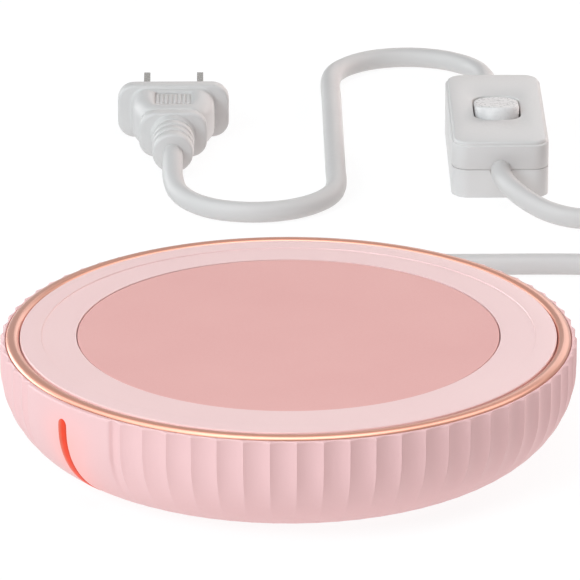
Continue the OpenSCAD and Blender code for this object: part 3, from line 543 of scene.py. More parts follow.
@dataclass(frozen=True)
class PaintedGlowPlastic:
    """A plastic with a lit strip's light painted into it round the strip in its front: a pinker tint in its
    colour and a faint emission. Sizes are in mm.

    The strip lies half to each side of middle and goes up to top. The painted glow goes as far as reach
    past it, on the front alone, and is weakest near the foot, up to the two heights of rising.
    """

    name: str
    plastic: Plastic
    glow_tint: str
    glow: str
    middle: float = 0.9
    half: float = 1.6
    top: float = 16.0
    reach: float = 12.0
    front: float = -30.0
    rising: Point = (1.0, 9.0)
    least: float = 0.3
    falloff: float = 2.6
    glow_tint_share: float = 0.7
    strength: float = 0.06

    def material(self) -> Material:
        """Build the material.

        Returns:
            The plastic's own material, with a painted glow near the bar: a pinker tint in its colour and a
            faint emission.
        """
        made = self.plastic.material().copy()
        made.name = self.name
        tree = made.node_tree
        shader = tree.nodes["Principled BSDF"]
        place = add(tree, "ShaderNodeTexCoord").outputs["Object"]
        part = add(tree, SEPARATE, {0: place}).outputs
        # How far a point is from the lit strip: to the side, above its top, or both.
        moved = add(tree, MATH, {0: part[0], 1: self.middle * MM}, operation="SUBTRACT")
        aside = add(tree, MATH, {0: moved}, operation="ABSOLUTE")
        spot = add(tree, COMBINE, {0: aside, 2: part[2]})
        past = add(tree, VECTOR, {0: spot, 1: in_mm(self.half, 0, self.top)}, operation="SUBTRACT")
        past = add(tree, VECTOR, {0: past}, operation="MAXIMUM")
        away = add(tree, VECTOR, {0: past}, operation="LENGTH").outputs["Value"]
        near = add(tree, RANGE, {0: away, 2: self.reach * MM, 3: 1.0, 4: 0.0})
        start, end = self.rising
        up = add(tree, RANGE, {0: part[2], 1: start * MM, 2: end * MM, 3: self.least})
        outside = add(tree, MATH, {0: part[1], 1: self.front * MM}, operation="LESS_THAN")
        for operation, value in (("POWER", self.falloff), ("MULTIPLY", outside), ("MULTIPLY", up)):
            near = add(tree, MATH, {0: near, 1: value}, operation=operation)
        # Painted glow: the tint is mixed into the plastic's colour and a faint emission is added, both
        # strongest by the bar.
        share = add(tree, MATH, {0: near, 1: self.glow_tint_share}, operation="MULTIPLY")
        plain = shader.inputs["Base Color"].links[0].from_socket
        painted_glow = add(tree, MIX, {0: share, 6: plain, 7: linear(self.glow_tint)}, data_type="RGBA")
        light = add(tree, MATH, {0: near, 1: self.strength}, operation="MULTIPLY")
        feed(tree, shader, {"Base Color": painted_glow.outputs[2], "Emission Color": linear(self.glow),
                            "Emission Strength": light})
        return made


# Cast acrylic of the light bar, dull on its face: a soft even glow with hardly a reflection.
LIT_ACRYLIC = Diffuser("lit_acrylic_diffuser", "#96260E", "#F03C14", "#E27A61", "#C84223", 0.64,
                       left_mm=(0.0, -0.9), right_mm=(0.7, 1.3))
# The shell's polypropylene with the bar's light painted round it: a pinker tint and a faint emission that
# fade outwards.
PAINTED_GLOW_PP = PaintedGlowPlastic("moulded_pink_polypropylene_painted_glow", SHELL_PP, "#FFB2AC", "#FF8478")


def dress(finish: Finish, *names: str) -> list[Object]:
    """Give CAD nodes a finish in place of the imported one.

    Args:
        finish: The finish.
        names: The nodes.

    Returns:
        The nodes' objects.
    """
    nodes = [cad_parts[name] for name in names]
    for node in nodes:
        for holder in node.material_slots:
            holder.material = finish.material()
    return nodes


# ---------------------------------------------------------------- geometry nodes


def keep_result(obj: Object, modifier: bpy.types.Modifier) -> None:
    """Turn what a modifier gives into the object's plain mesh.

    Args:
        obj: The object.
        modifier: Its one modifier, which is removed.
    """
    bpy.context.view_layer.update()
    evaluated = obj.evaluated_get(bpy.context.evaluated_depsgraph_get())
    made, old = bpy.data.meshes.new_from_object(evaluated), obj.data
    obj.modifiers.remove(modifier)
    obj.data = made
    bpy.data.meshes.remove(old)
    made.name = obj.name


def run_tree(obj: Object, tree: Tree, values: dict[str, object]) -> None:
    """Run a geometry node tree on an object and keep the result.

    Args:
        obj: The object whose mesh is worked on.
        tree: The tree.
        values: The tree's inputs by name.
    """
    modifier = obj.modifiers.new(tree.name, "NODES")
    modifier.node_group = tree
    for item in tree.interface.items_tree:
        if item.in_out == "INPUT" and item.name in values:
            modifier[item.identifier] = values[item.name]
    keep_result(obj, modifier)


def start_tree(name: str, sockets: dict[str, str]) -> tuple[Tree, bpy.types.NodeOutputs]:
    """Start a geometry node tree that takes and gives a geometry.

    Args:
        name: The tree's name.
        sockets: Its further inputs, as name to socket type.

    Returns:
        The tree and what it takes, the geometry first.
    """
    tree = bpy.data.node_groups.new(name, "GeometryNodeTree")
    for label, kind in {"Geometry": "NodeSocketGeometry", **sockets}.items():
        tree.interface.new_socket(name=label, in_out="INPUT", socket_type=kind)
    tree.interface.new_socket(name="Geometry", in_out="OUTPUT", socket_type="NodeSocketGeometry")
    return tree, tree.nodes.new("NodeGroupInput").outputs


def end_tree(tree: Tree, geometry: Node, material: Socket) -> None:
    """End a tree: instances become real, and the mesh takes its material.

    Args:
        tree: The tree.
        geometry: The last node of its work.
        material: The socket that brings the material.
    """
    real = add(tree, "GeometryNodeRealizeInstances", {0: geometry})
    dressed = add(tree, "GeometryNodeSetMaterial", {"Geometry": real, "Material": material})
    add(tree, "NodeGroupOutput", {0: dressed})


# ---------------------------------------------------------------- body


@dataclass
class FlutedShell:
    """The moulded bowl, whose flutes are cut by one rule all round. Sizes are in mm.

    Its side is an arc under a straight band, and the foot ends the arc by sunk before it is level.
    The flutes are counted from first, in degrees from the light bar, and begin past its panel.
    """

    radius: float = 60.0
    height: float = 23.5
    band: float = 5.4
    wall: float = 2.2
    foot_gap: float = 0.8
    sunk: float = 0.7
    flutes: int = 66
    cutter: float = 5.4
    fade: float = 0.92
    fading: Point = (0.05, 0.74)
    rim_loss: float = 0.4
    edge: float = 0.5
    first: float = 10.25
    panel_half: float = 12.5
    panel_blend: float = 1.0
    lip_inside: float = 58.95
    rebate_z: float = 22.9
    ledge_z: float = 20.9
    ledge_r: float = 54.24
    ledge_t: float = 0.6
    ledge_slope: float = 2.4
    hole_r: float = 40.0
    cover_r: float = 43.2
    cover_t: float = 1.4

    def __post_init__(self) -> None:
        """Work out the bowl's arc."""
        self.bowl_z = self.height - self.band
        self.bowl_r = self.bowl_z - self.foot_gap + self.sunk
        self.bowl_x = self.radius - self.bowl_r

    def on_bowl(self, angle: float, grow: float = 0.0) -> Point:
        """A point of the bowl's arc, an angle below level, grown outwards."""
        r = self.bowl_r + grow
        return self.bowl_x + r * math.cos(angle), self.bowl_z - r * math.sin(angle)

    def outline(self, arc_steps: int = 34, band_steps: int = 4, rim_step: int = 15,
                inner_steps: int = 12) -> list[tuple[float, float, float]]:
        """Draw the section of the shell.

        Args:
            arc_steps: Segments of the outer arc.
            band_steps: Segments of the straight band.
            rim_step: Degrees to a segment of the rounded rim.
            inner_steps: Segments of the inner arc.

        Returns:
            Closed outline as (radius, height, skin), where skin is how far a flute's cut counts.
        """
        low = math.asin((self.bowl_z - self.foot_gap) / self.bowl_r)
        out = [(*self.on_bowl(low * (1 - k / arc_steps)), 1.0) for k in range(arc_steps + 1)]
        top = self.height - self.edge
        out += [(self.radius, self.bowl_z + (top - self.bowl_z) * k / band_steps, 1.0)
                for k in range(1, band_steps)]
        for degrees in range(0, 91, rim_step):
            a = math.radians(degrees)
            out.append((self.radius - self.edge + self.edge * math.cos(a),
                        top + self.edge * math.sin(a), 1.0 - self.rim_loss * degrees / 90))
        flange = self.foot_gap + self.wall
        inside = self.radius - self.wall
        inner_low = math.asin((self.bowl_z - flange) / (self.bowl_r - self.wall))
        plain = [(self.lip_inside + 0.04, self.height), (self.lip_inside, self.height - 0.05),
                 (self.lip_inside, self.rebate_z), (inside, self.rebate_z), (inside, self.ledge_z),
                 (self.ledge_r, self.ledge_z), (self.ledge_r, self.ledge_z - self.ledge_t),
                 (inside, self.ledge_z - self.ledge_t - self.ledge_slope)]
        plain += [self.on_bowl(inner_low * k / inner_steps, -self.wall) for k in range(1, inner_steps + 1)]
        plain += [(self.hole_r, flange), (self.hole_r, self.foot_gap + self.cover_t),
                  (self.cover_r, self.foot_gap + self.cover_t), (self.cover_r, self.foot_gap)]
        return out + [(r, z, 0.0) for r, z in plain]

    def columns(self, blend_steps: int = 6, panel_steps: int = 40) -> list[float]:
        """Place the mesh's columns round the axis, closer together at the ridges.

        Args:
            blend_steps: Segments at each side of the panel, where the flutes begin.
            panel_steps: Segments of the plain panel.

        Returns:
            Their angles from the light bar in degrees, once round.
        """
        pitch = (360 - 2 * self.first) / self.flutes
        # Places of the columns in each pitch, in shares of it from one ridge to the next.
        shares = (0, 0.035, 0.09, 0.18, 0.3, 0.43, 0.57, 0.7, 0.82, 0.91, 0.965)
        blend = [self.panel_half + self.panel_blend * k / blend_steps for k in range(blend_steps + 1)]
        fluted = [self.first + pitch * (i + s) for i in range(self.flutes) for s in shares]
        fluted = [a for a in fluted if blend[-1] < a < 360 - blend[-1]]
        panel = [360 - self.panel_half + self.panel_half * 2 * k / panel_steps
                 for k in range(1, panel_steps)]
        return blend + fluted + [360 - a for a in reversed(blend)] + panel

    def plain(self, material: Material) -> Object:
        """Turn the section into the shell before its flutes.

        Args:
            material: The shell's material.

        Returns:
            The plain shell, with the skin weight as an attribute.
        """
        outline, columns = self.outline(), [math.radians(a) for a in self.columns()]
        n, m = len(outline), len(columns)
        verts = [in_mm(r * math.sin(a), -r * math.cos(a), z) for a in columns for r, z, _ in outline]
        faces = [(c * n + i, c * n + (i + 1) % n, (c + 1) % m * n + (i + 1) % n, (c + 1) % m * n + i)
                 for c in range(m) for i in range(n)]
        obj = piece("fluted_shell", verts, faces, material, fix=False)
        skin = obj.data.attributes.new("skin", "FLOAT", "POINT")
        skin.data.foreach_set("value", [s for _ in columns for _, _, s in outline])
        return obj

    def cutting(self) -> Tree:
        """Build the rule that cuts the flutes: a round cutter runs down each pitch of the bowl.

        Returns:
            The geometry node tree.
        """
        sizes = ("Flutes", "Cutter", "Fade", "First", "Panel", "Blend", "Bowl x", "Bowl z", "Bowl r")
        tree, take = start_tree("flute_cutting", {**dict.fromkeys(sizes, "NodeSocketFloat"),
                                                  "Material": "NodeSocketMaterial"})
        part = add(tree, SEPARATE, {0: add(tree, "GeometryNodeInputPosition")}).outputs
        flat = add(tree, COMBINE, {0: part[0], 1: part[1]})
        r = add(tree, VECTOR, {0: flat}, operation="LENGTH").outputs["Value"]
        # How far round from the light bar, either way.
        front = add(tree, MATH, {0: part[1], 1: -1.0}, operation="MULTIPLY")
        turn = add(tree, MATH, {0: part[0], 1: front}, operation="ARCTAN2")
        turn = add(tree, MATH, {0: turn}, operation="ABSOLUTE")
        # The pitch, and how far from the middle of its own pitch a point is, in shares of it.
        fluted = add(tree, MATH, {0: take["First"], 1: -2.0, 2: 2 * math.pi}, operation="MULTIPLY_ADD")
        pitch = add(tree, MATH, {0: fluted, 1: take["Flutes"]}, operation="DIVIDE")
        share = add(tree, MATH, {0: turn, 1: take["First"]}, operation="SUBTRACT")
        share = add(tree, MATH, {0: share, 1: pitch}, operation="DIVIDE")
        share = add(tree, MATH, {0: share}, operation="FRACT")
        share = add(tree, MATH, {0: share, 1: 0.5}, operation="SUBTRACT")
        share = add(tree, MATH, {0: share}, operation="ABSOLUTE")
        # The cut: how much higher the cutter's circle stands there than at the pitch's edge.
        width = add(tree, MATH, {0: pitch, 1: r}, operation="MULTIPLY")
        square = add(tree, MATH, {0: take["Cutter"], 1: 2.0}, operation="POWER")
        heights = []
        for part_way in (share, 0.5):
            lost = add(tree, MATH, {0: width, 1: part_way}, operation="MULTIPLY")
            lost = add(tree, MATH, {0: lost, 1: 2.0}, operation="POWER")
            height = add(tree, MATH, {0: square, 1: lost}, operation="SUBTRACT")
            heights.append(add(tree, MATH, {0: height}, operation="SQRT"))
        cut = add(tree, MATH, dict(enumerate(heights)), operation="SUBTRACT")
        # It begins past the panel, fades down the bowl, and counts on the outer skin alone.
        panel_end = add(tree, MATH, {0: take["Panel"], 1: take["Blend"]}, operation="ADD")
        begun = add(tree, RANGE, {0: turn, 1: take["Panel"], 2: panel_end},
                    interpolation_type="SMOOTHSTEP")
        fall = add(tree, MATH, {0: part[2], 1: take["Bowl z"]}, operation="SUBTRACT")
        fall = add(tree, MATH, {0: fall, 1: 0.0}, operation="MINIMUM")
        under = add(tree, MATH, {0: fall, 1: take["Bowl r"]}, operation="DIVIDE")
        under = add(tree, MATH, {0: under, 1: -1.0}, operation="MULTIPLY")
        least = add(tree, MATH, {0: 1.0, 1: take["Fade"]}, operation="SUBTRACT")
        start, end = self.fading
        left = add(tree, RANGE, {0: under, 1: start, 2: end, 3: 1.0, 4: least},
                   interpolation_type="SMOOTHSTEP")
        skin = add(tree, "GeometryNodeInputNamedAttribute", {"Name": "skin"}, data_type="FLOAT")
        cut = add(tree, MATH, {0: cut, 1: 0.0}, operation="MAXIMUM")
        for factor in (begun, left, skin, -1.0):
            cut = add(tree, MATH, {0: cut, 1: factor}, operation="MULTIPLY")
        # It goes straight into the bowl's arc.
        reach = add(tree, MATH, {0: r, 1: take["Bowl x"]}, operation="SUBTRACT")
        level = add(tree, VECTOR, {0: flat}, operation="NORMALIZE")
        level = add(tree, VECTOR, {0: level, "Scale": reach}, operation="SCALE")
        normal = add(tree, VECTOR, {0: level, 1: add(tree, COMBINE, {2: fall})}, operation="ADD")
        normal = add(tree, VECTOR, {0: normal}, operation="NORMALIZE")
        offset = add(tree, VECTOR, {0: normal, "Scale": cut}, operation="SCALE")
        moved = add(tree, "GeometryNodeSetPosition", {"Geometry": take[0], "Offset": offset})
        end_tree(tree, moved, take["Material"])
        return tree

    def build(self) -> Object:
        """Make the shell and settle it.

        Returns:
            The fluted shell.
        """
        material = PAINTED_GLOW_PP.material()
        obj = self.plain(material)
        run_tree(obj, self.cutting(), {
            "Flutes": float(self.flutes), "Cutter": self.cutter * MM, "Fade": self.fade,
            "First": math.radians(self.first), "Panel": math.radians(self.panel_half),
            "Blend": math.radians(self.panel_blend), "Bowl x": self.bowl_x * MM,
            "Bowl z": self.bowl_z * MM, "Bowl r": self.bowl_r * MM, "Material": material})
        shade(obj.data, 25)
        return settle(obj, Body.WARMER, "shell_plastic", "outer_shell")


@dataclass
class LightBar:
    """The diffuser bar that runs down the side, flush with the bowl. Sizes are in mm."""

    shell: FlutedShell
    width: float = 2.8
    top: float = 20.2
    sweep: float = 62.0
    proud: float = 0.06
    sunk: float = 0.02
    buried: float = 1.2

    def __post_init__(self) -> None:
        """Work out the bar's length over the bowl, and up the straight band as well."""
        self.arc = math.radians(self.sweep) * self.shell.bowl_r
        self.length = self.arc + self.top - self.shell.bowl_z

    def section(self, along: float) -> list[Point]:
        """Draw the section across the bar, which narrows to a rounded tip at each end.

        Args:
            along: How far along the bar it is.

        Returns:
            The points of its open outline, as (aside, outwards).
        """
        end = min(along, self.length - along)
        half = self.width / 2
        if end < half:
            half *= math.sqrt(max(0.02, 1 - (1 - end / half) ** 2))
        shape = ((-1, -self.buried), (-1, -self.sunk), (-0.8, 0.7 * self.proud), (-0.4, self.proud),
                 (0, self.proud), (0.4, self.proud), (0.8, 0.7 * self.proud), (1, -self.sunk),
                 (1, -self.buried))
        return [(x * half, h) for x, h in shape]

    def build(self, steps: int = 30) -> Object:
        """Make the bar and settle it.

        Args:
            steps: Segments between its rounded ends.

        Returns:
            The light bar.
        """
        shell = self.shell
        marks = [0, 0.05, 0.2, 0.4, 0.65, 1.0]
        inner = [1 + (self.length - 2) * k / steps for k in range(1, steps)]
        loops = []
        for along in marks + inner + [self.length - m for m in reversed(marks)]:
            loop = []
            for x, h in self.section(along):
                if along < self.arc:
                    r, z = shell.on_bowl(math.radians(self.sweep) - along / shell.bowl_r, h)
                else:
                    r, z = shell.radius + h, shell.bowl_z + along - self.arc
                loop.append(in_mm(x, -math.sqrt(r * r - x * x), z))
            loops.append(loop)
        obj = stacked("light_bar", loops, LIT_ACRYLIC.material())
        return settle(obj, Body.WARMER, "light_acrylic", "light_guide")


@dataclass
class TopStack:
    """Deck, heated plate and trim ring. Sizes are in mm."""

    deck_r: float = 55.84
    deck_z: float = 24.1
    step_z: float = 23.86
    band: float = 4.4
    foot: float = 1.5
    web_z: float = 22.2
    floor_z: float = 20.9
    shelf_z: float = 19.5
    shelf_in: float = 35.0
    shelf_out: float = 45.8
    well_gap: float = 0.22
    sunk: float = 0.13
    plate_r: float = 43.9
    plate_t: float = 2.4
    ring_r: float = 57.42
    ring_half: float = 1.43
    ring_foot: float = 0.4
    ring_rise: float = 0.9
    seat_z: float = 22.9

    def deck(self) -> Object:
        """Make the deck, with its shallow step and eased edges.

        Returns:
            The deck.
        """
        well, step = self.plate_r + self.well_gap, self.deck_r - self.band
        corners = [(self.shelf_in, self.shelf_z, 0), (self.shelf_out, self.shelf_z, 0),
                   (self.shelf_out, self.web_z, 0), (self.deck_r - self.foot, self.web_z, 0),
                   (self.deck_r - self.foot, self.floor_z, 0), (self.deck_r, self.floor_z, 0),
                   (self.deck_r, self.deck_z, 0.3), (step, self.deck_z, 0.06),
                   (step - 0.1, self.step_z, 0.06), (well, self.deck_z, 0.12),
                   (well, self.floor_z, 0), (self.shelf_in, self.floor_z, 0)]
        obj = turned("top_ring_deck", eased(corners, 5), DECK_ABS.material(), sharp=30)
        return settle(obj, Body.WARMER, "deck_plastic", "top_deck")

    def plate(self) -> Object:
        """Make the plate, with its eased edge.

        Returns:
            The plate.
        """
        low, top = self.deck_z - self.plate_t, self.deck_z - self.sunk
        corners = [(0, low, 0), (self.plate_r, low, 0), (self.plate_r, top, 0.1), (0, top, 0)]
        outline = eased(corners, 5, closed=False)
        # Rings on the flat top keep its shading even.
        outline[-1:] = [(r, top) for r in (43, 40, 30, 15, 0)]
        obj = turned("heated_plate", outline, PLATE_COATING.material(), sharp=30)
        return settle(obj, Body.WARMER, "plate_coating", "hot_plate")

    def ring(self) -> Object:
        """Make the trim ring: a low round bead on a short foot.

        Returns:
            The ring.
        """
        outline = [(self.ring_r + self.ring_half, self.seat_z)]
        for a in (math.radians(degrees) for degrees in range(0, 181, 9)):
            outline.append((self.ring_r + self.ring_half * math.cos(a),
                            self.seat_z + self.ring_foot + self.ring_rise * math.sin(a)))
        outline.append((self.ring_r - self.ring_half, self.seat_z))
        obj = turned("trim_bead", outline, ROSE_GOLD.material())
        return settle(obj, Body.WARMER, "rose_gold_trim", "trim_ring")

    def build(self) -> None:
        """Make the three pieces."""
        self.deck()
        self.plate()
        self.ring()


# ---------------------------------------------------------------- cord


def smoothed(points: Sequence[Vector], step: float = 0.002) -> list[Vector]:
    """Run one smooth curve through points.

    Args:
        points: The points in metres.
        step: The distance between the curve's own points.

    Returns:
        The curve's points, ends included.
    """
    ends = [2 * points[0] - points[1], *points, 2 * points[-1] - points[-2]]
    out: list[Vector] = []
    for p0, p1, p2, p3 in zip(ends, ends[1:], ends[2:], ends[3:]):
        run = (p2 - p1).length
        slope1 = (p2 - p0) / ((p1 - p0).length + run) * run
        slope2 = (p3 - p1) / (run + (p3 - p2).length) * run
        count = max(1, round(run / step))
        for k in range(count):
            t = k / count
            out.append((2 * t**3 - 3 * t**2 + 1) * p1 + (t**3 - 2 * t**2 + t) * slope1
                       + (3 * t**2 - 2 * t**3) * p2 + (t**3 - t**2) * slope2)
    return out + [points[-1].copy()]


def swept(name: str, path: Sequence[Vector], radius: float, material: Material,
          sides: int = 18) -> Object:
    """Sweep a round section along a path without twist.

    Args:
        name: The piece's name.
        path: The centre line in metres.
        radius: The section's radius in metres.
        material: The piece's material.
        sides: Points round the section.

    Returns:
        The closed tube.
    """
    loops: list[Loop] = []
    angles = [2 * math.pi * k / sides for k in range(sides)]
    side = Vector((0, 0, 1))
    for i, point in enumerate(path):
        along = (path[min(i + 1, len(path) - 1)] - path[max(i - 1, 0)]).normalized()
        side = (side - along * side.dot(along)).normalized()
        other = along.cross(side)
        loops.append([point + radius * (math.cos(a) * side + math.sin(a) * other) for a in angles])
    return stacked(name, loops, material, sharp=60)


def ease(t: float) -> float:
    """Smooth step from 0 to 1, level at both ends."""
    t = max(0.0, min(1.0, t))
    return t * t * (3 - 2 * t)


# The cord's routes, in mm in its own frame. Between the first two it is wound in the coil.
ROUTE_TO_COIL = (
    (0, 60, 8), (0, 78, 8), (0.7, 83.4, 7.69), (2.8, 88.5, 6.76), (6.2, 92.8, 5.2),
    (10.5, 96.2, 3.64), (15.6, 98.3, 2.71), (21, 99, 2.4), (34, 99, 2.4), (48, 99, 2.4),
    (62, 99, 2.4), (70, 98.3, 2.4), (78, 96.3, 2.4), (86, 93.4, 2.4), (94, 90.6, 2.4),
    (101, 89.1, 2.4))
ROUTE_TO_SWITCH = (
    (102.5, 148.2, 6.47), (97.4, 146.2, 6.07), (93, 142.9, 5.42), (89.5, 138.7, 4.5),
    (86, 134.5, 3.58), (81.6, 131.2, 2.92), (76.5, 129.2, 2.53), (71, 128.5, 2.4),
    (65.8, 129.2, 2.64), (61, 131.2, 3.37), (56.9, 134.4, 4.57), (53.7, 138.5, 5.78),
    (51.7, 143.3, 6.51), (51, 148.5, 6.75), (51, 150, 6.75))
ROUTE_TO_PLUG = (
    (51, 200, 6.75), (51, 201.5, 6.75), (51, 205.5, 6.2), (51, 211, 4.7), (51, 217, 3.3),
    (51, 223, 2.5), (50.7, 229, 2.4), (49.4, 234.5, 2.4), (46.6, 239.2, 2.4), (41.5, 243.5, 2.4),
    (35.3, 245.7, 2.4), (28.7, 245.7, 2.4), (22.5, 243.5, 2.4), (17.4, 239.2, 2.4),
    (14.1, 233.5, 2.4), (13, 227, 2.4), (13, 214, 2.4), (13, 201, 2.4), (13, 188, 2.4),
    (13, 175, 2.4), (13, 163, 2.4), (13, 153, 2.4), (11.9, 146.5, 2.4), (8.6, 140.8, 2.4),
    (3.5, 136.5, 2.4), (-2.7, 134.3, 2.4), (-9.3, 134.3, 2.4), (-15.5, 136.5, 2.4),
    (-20.6, 140.8, 2.6), (-23.9, 146.5, 3.3), (-25, 153, 4.8), (-25, 157.5, 6),
    (-25, 161.5, 6.5), (-25, 163, 6.5))
# A turn that rests on two turns side by side stands at this angle over each.
REST_ANGLE = math.radians(60)


@dataclass
class Coil:
    """Spare cord wound in two and a half turns on the table and two in the grooves on top.

    Sizes are in mm. Places along it are in turns from its start, and tie_at, tie_half and
    lift_reach are in degrees.
    """

    centre: Point = (108.0, 120.0)
    cord_d: float = 4.8
    inner: float = 21.7
    floor_turns: int = 3
    turns: float = 4.5
    per_turn: int = 24
    cross_over: float = 0.2
    climb_at: float = 2.5
    outwards_at: float = 3.2
    climb: float = 0.3
    lift: float = 0.45
    lift_reach: float = 34.0
    tie_at: float = -54.0
    tie_half: float = 6.0
    tie_gap: float = 0.02
    tie_t: float = 0.42

    def put(self, r: float, degrees: float, z: float) -> Vector:
        """Place a point at a radius, an angle and a height."""
        a = math.radians(degrees)
        return row(self.centre[0] + r * math.cos(a), self.centre[1] + r * math.sin(a), z)

    def low(self, t: float) -> Point:
        """Place the cord on the floor, where it moves inwards at the end of each turn.

        Args:
            t: Turns from the coil's start.

        Returns:
            Radius and height.
        """
        last = self.floor_turns - 1
        turn = min(int(t), last)
        moved = 0.0 if turn == last else ease((t - turn - 1 + self.cross_over) / self.cross_over)
        return self.inner + self.cord_d * (last - turn - moved), self.cord_d / 2

    def rest_height(self, r: float, t: float) -> float:
        """Find how high a top turn rests on the floor turns under it.

        Args:
            r: The top turn's radius.
            t: Turns from the coil's start.

        Returns:
            The height.
        """
        share = t - math.floor(t)
        under = [self.low(share)[0], self.low(share + 1)[0]]
        # The innermost floor turn goes half way round, and climbs.
        if share < 0.5:
            under.append(self.inner)
        rises = [self.cord_d**2 - (r - u) ** 2 for u in under]
        return self.cord_d / 2 + math.sqrt(max([*rises, 0.0]))

    def at(self, t: float) -> Point:
        """Place the cord after a number of turns: on the floor, climbing, or on top.

        Args:
            t: Turns from the coil's start.

        Returns:
            Radius and height.
        """
        if t <= self.climb_at:
            return self.low(t)
        if t < self.climb_at + self.climb:
            a = REST_ANGLE * ease((t - self.climb_at) / self.climb)
            return self.inner + self.cord_d * (1 - math.cos(a)), self.cord_d * (0.5 + math.sin(a))
        r = self.inner + self.cord_d * (0.5 + ease((t - self.outwards_at) / self.climb))
        return r, self.rest_height(r, t)

    def points(self) -> list[Vector]:
        """Wind the cord, from the first floor turn to the end of the top turns.

        Returns:
            The wound part of the route, a little lifted where the strap passes under it.
        """
        out = []
        for k in range(round(self.turns * self.per_turn) + 1):
            t = k / self.per_turn
            r, z = self.at(t)
            degrees = 360 * t - 90
            gap = abs((degrees - self.tie_at + 180) % 360 - 180)
            out.append(self.put(r, degrees, z + self.lift * (1 - ease(gap / self.lift_reach))))
        return out

    def tie(self) -> Object:
        """Make the strap round the turns.

        Returns:
            The strap, a closed band.
        """
        low, half = self.cord_d / 2 + self.lift, self.cord_d / 2
        high = low + self.cord_d * math.sin(REST_ANGLE)
        outer = self.inner + (self.floor_turns - 1) * self.cord_d
        centres = [Vector(c) for c in ((self.inner, low), (outer, low), (outer - half, high),
                                       (self.inner + half, high))]
        outside = self.tie_gap + self.tie_t
        section = eased([(-self.tie_half, self.tie_gap, 0.1), (self.tie_half, self.tie_gap, 0.1),
                         (self.tie_half, outside, 0.18), (-self.tie_half, outside, 0.18)], 3)
        loops, steps = [], 6
        for i, centre in enumerate(centres):
            into, out = centre - centres[i - 1], centres[(i + 1) % 4] - centre
            for k in range(steps + 1):
                a = math.atan2(-into.x, into.y) - into.angle_signed(out) * k / steps
                loop = []
                for degrees, grow in section:
                    p = centre + Vector((math.cos(a), math.sin(a))) * (half + grow)
                    loop.append(self.put(p.x, self.tie_at + degrees, p.y))
                loops.append(loop)
        obj = stacked("cord_strap", loops, TIE_NYLON.material(), ring=True)
        return settle(obj, Body.WARMER, "tie_nylon", "coil_tie")


@dataclass
class StrainRelief:
    """The grooved cone that guards the cord where it leaves the body. Sizes are in mm."""

    start: float = 53.0
    cord_z: float = 8.0
    bore: float = 2.42
    flange_r: float = 5.5
    neck_r: float = 4.0
    neck: Point = (1.95, 5.25)
    head: float = 7.0
    cone_r: float = 4.7
    taper: float = 0.072
    rings: int = 5
    first: float = 8.6
    pitch: float = 3.0
    groove: float = 1.2
    core_r: float = 3.8
    core_step: float = 0.15
    tip_r: float = 3.42
    length: float = 25.0

    def build(self) -> Object:
        """Make the relief, whose grooves leave a row of rings.

        Returns:
            The relief.
        """
        inner, outer = self.neck
        corners = [(self.bore, 0, 0), (self.flange_r, 0, 0.2), (self.flange_r, inner, 0.2),
                   (self.neck_r, inner, 0), (self.neck_r, outer, 0), (self.flange_r, outer, 0.25),
                   (self.flange_r, self.head, 0.5), (self.cone_r + 0.05, self.head, 0.2)]
        for i in range(self.rings):
            z = self.first + self.pitch * i
            edge = self.cone_r - (z - self.head) * self.taper
            core = self.core_r - self.core_step * i
            corners += [(edge, z, 0.25), (core, z, 0.15), (core, z + self.groove, 0.15),
                        (edge - 0.09, z + self.groove, 0.25)]
        corners += [(self.tip_r, self.length, 0.4), (self.bore, self.length, 0)]
        obj = turned("cord_guard", eased(corners, 3), CORD_PVC.material(), 64,
                     place=lambda x, y, z: row(x, self.start + z, self.cord_z + y), sharp=50)
        return settle(obj, Body.WARMER, "cord_pvc", "strain_relief")


@dataclass
class Cords:
    """Both lengths of the mains cord."""

    coil: Coil
    radius: float = 2.4 * MM

    def build(self, guard: Object, strap: Object, switch: Sequence[Object],
              plug: Sequence[Object]) -> None:
        """Args:
            guard: The strain relief on the body; not used.
            strap: The strap round the coil; not used.
            switch: The pieces and nodes of the switch; not used.
            plug: The pieces and nodes of the plug; not used.
        """
        to_coil, to_switch, to_plug = ([row(*p) for p in route]
                                       for route in (ROUTE_TO_COIL, ROUTE_TO_SWITCH, ROUTE_TO_PLUG))
        both = (
            ("cord_to_switch_end", to_coil + self.coil.points() + to_switch,
             ("cord_to_coil", "cord_coil", "cord_to_switch"), "fitting", "coiled", [guard, strap, *switch]),
            ("cord_to_plug_end", to_plug, ("cord_to_plug",), "plug", "loose", plug))
        for name, points, nodes, far_end, lay, pieces in both:
            path = smoothed(points)
            cord = swept(name, path, self.radius, CORD_PVC.material())
            settle(cord, Body.WARMER, "cord_pvc", *nodes)


# ---------------------------------------------------------------- switch


